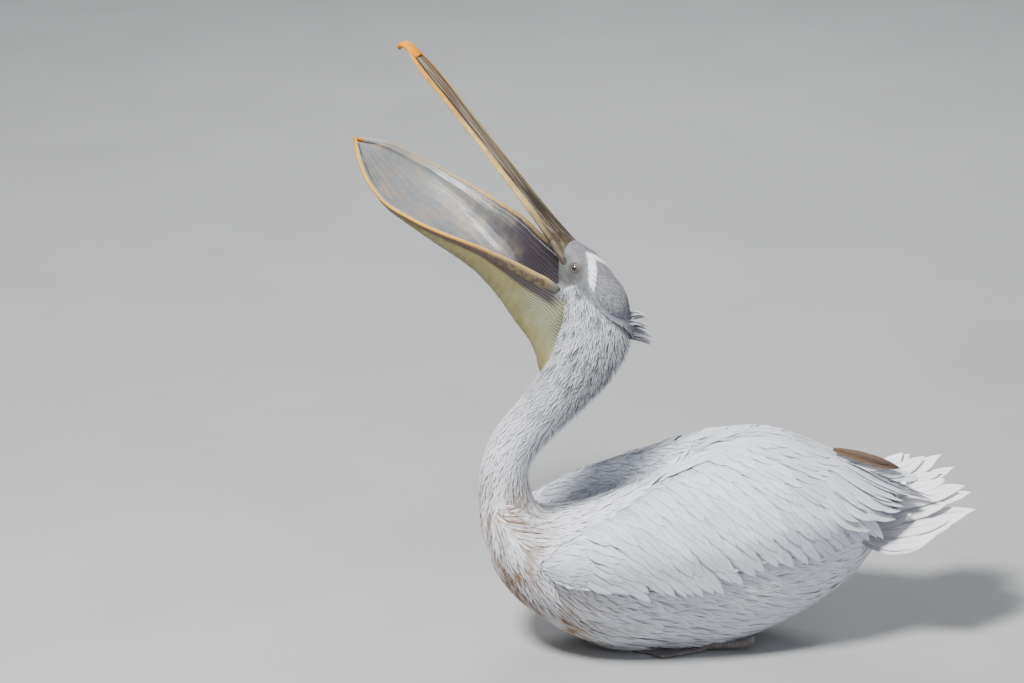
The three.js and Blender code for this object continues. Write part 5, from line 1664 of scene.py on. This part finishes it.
# ------------------------------------------------------------------ feet, folded under the belly
for nm in ("left", "right"):
    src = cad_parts["foot_" + nm]
    dup = bpy.data.objects.new("foot_raw", src.data.copy())
    bpy.context.collection.objects.link(dup)
    m1 = dup.modifiers.new("fine", "REMESH")
    m1.mode = "VOXEL"
    m1.voxel_size = 0.0016
    m2 = dup.modifiers.new("soft", "SMOOTH")
    m2.factor, m2.iterations = 0.5, 5
    me = bpy.data.meshes.new_from_object(dup.evaluated_get(bpy.context.evaluated_depsgraph_get()))
    bpy.data.objects.remove(dup)
    foot = bpy.data.objects.new("foot_" + nm, me)
    bpy.context.collection.objects.link(foot)
    for m in list(me.color_attributes):
        me.color_attributes.remove(m)
    me.materials.clear()
    fv = verts_of(foot)
    fv[:, 2] = np.maximum(fv[:, 2], 0.0002)
    plates = 0.5 + 0.5 * np.sin(fv[:, 0] * 900 + 2 * np.sin(fv[:, 1] * 300))
    fnz = wavy(fv, 0.008)
    c0 = blend_cols(np.tile(lin(96, 92, 98), (len(fv), 1)), np.tile(lin(132, 122, 118), (len(fv), 1)), np.clip(0.5 + 0.4 * fnz, 0, 1))
    c0 = c0 * (0.85 + 0.2 * plates)[:, None]
    c0 = blend_cols(c0, np.tile(lin(40, 36, 36), (len(fv), 1)), smooth(-0.098, -0.103, fv[:, 0]))
    me.vertices.foreach_set("co", fv.astype(np.float32).ravel())
    set_colour(foot, c0)
    me.materials.append(MAT_FOOT)
    me.shade_smooth()
    finish_piece(foot, "foot_skin", "foot_" + nm)

# ------------------------------------------------------------------ floor, light, camera
floor_m, nt, b = nodes_of("studio_floor")
tc = add(nt, "ShaderNodeTexCoord")
nz = add(nt, "ShaderNodeTexNoise")
nz.inputs["Scale"].default_value = 3.0
nz.inputs["Detail"].default_value = 3
nt.links.new(tc.outputs["Object"], nz.inputs["Vector"])
nt.links.new(ramp(nt, nz.outputs["Fac"], [(0.3, (0.33, 0.335, 0.34)), (0.7, (0.36, 0.365, 0.37))]), b.inputs["Base Color"])
b.inputs["Roughness"].default_value = 0.85
floor = new_object("floor", [(-14, -14, 0), (14, -14, 0), (14, 14, 0), (-14, 14, 0)], [(0, 1, 2, 3)], False)
floor.data.materials.append(floor_m)

world = bpy.data.worlds.new("studio")
bpy.context.scene.world = world
world.use_nodes = True
world.node_tree.nodes["Background"].inputs[0].default_value = (0.80, 0.84, 0.90, 1)
world.node_tree.nodes["Background"].inputs[1].default_value = 0.42


def area(name, loc, target, size, power, colour=(1, 1, 1)):
    l = bpy.data.lights.new(name, "AREA")
    l.shape, l.size, l.energy, l.color = "DISK", size, power, colour
    o = bpy.data.objects.new(name, l)
    o.location = loc
    o.rotation_euler = (Vector(target) - Vector(loc)).to_track_quat("-Z", "Y").to_euler()
    bpy.context.collection.objects.link(o)


area("key", (-1.9, -1.6, 3.9), (0, 0, 0.3), 1.0, 480, (1.0, 0.985, 0.96))
area("fill", (2.6, -3.4, 1.6), (0, 0, 0.3), 2.6, 32, (0.92, 0.96, 1.0))
area("rim", (0.6, 3.4, 2.8), (-0.1, 0, 0.4), 2.0, 90, (1, 1, 1))

cam_data = bpy.data.cameras.new("camera")
cam_data.lens, cam_data.sensor_width = 170.4545, 36
cam_data.clip_start, cam_data.clip_end = 0.5, 60
cam = bpy.data.objects.new("camera", cam_data)
cam.location = (-1.3140, -7.2389, 3.1928)
_r = np.array([math.cos(8 * rad), -math.sin(8 * rad), 0])
_c = np.array([-math.sin(8 * rad) * math.cos(20 * rad), -math.cos(8 * rad) * math.cos(20 * rad), math.sin(20 * rad)])
_u = np.cross(_c, _r)
cam.rotation_euler = Matrix(np.stack([_r, _u, _c], 1).tolist()).to_euler()
bpy.context.collection.objects.link(cam)
bpy.context.scene.camera = cam
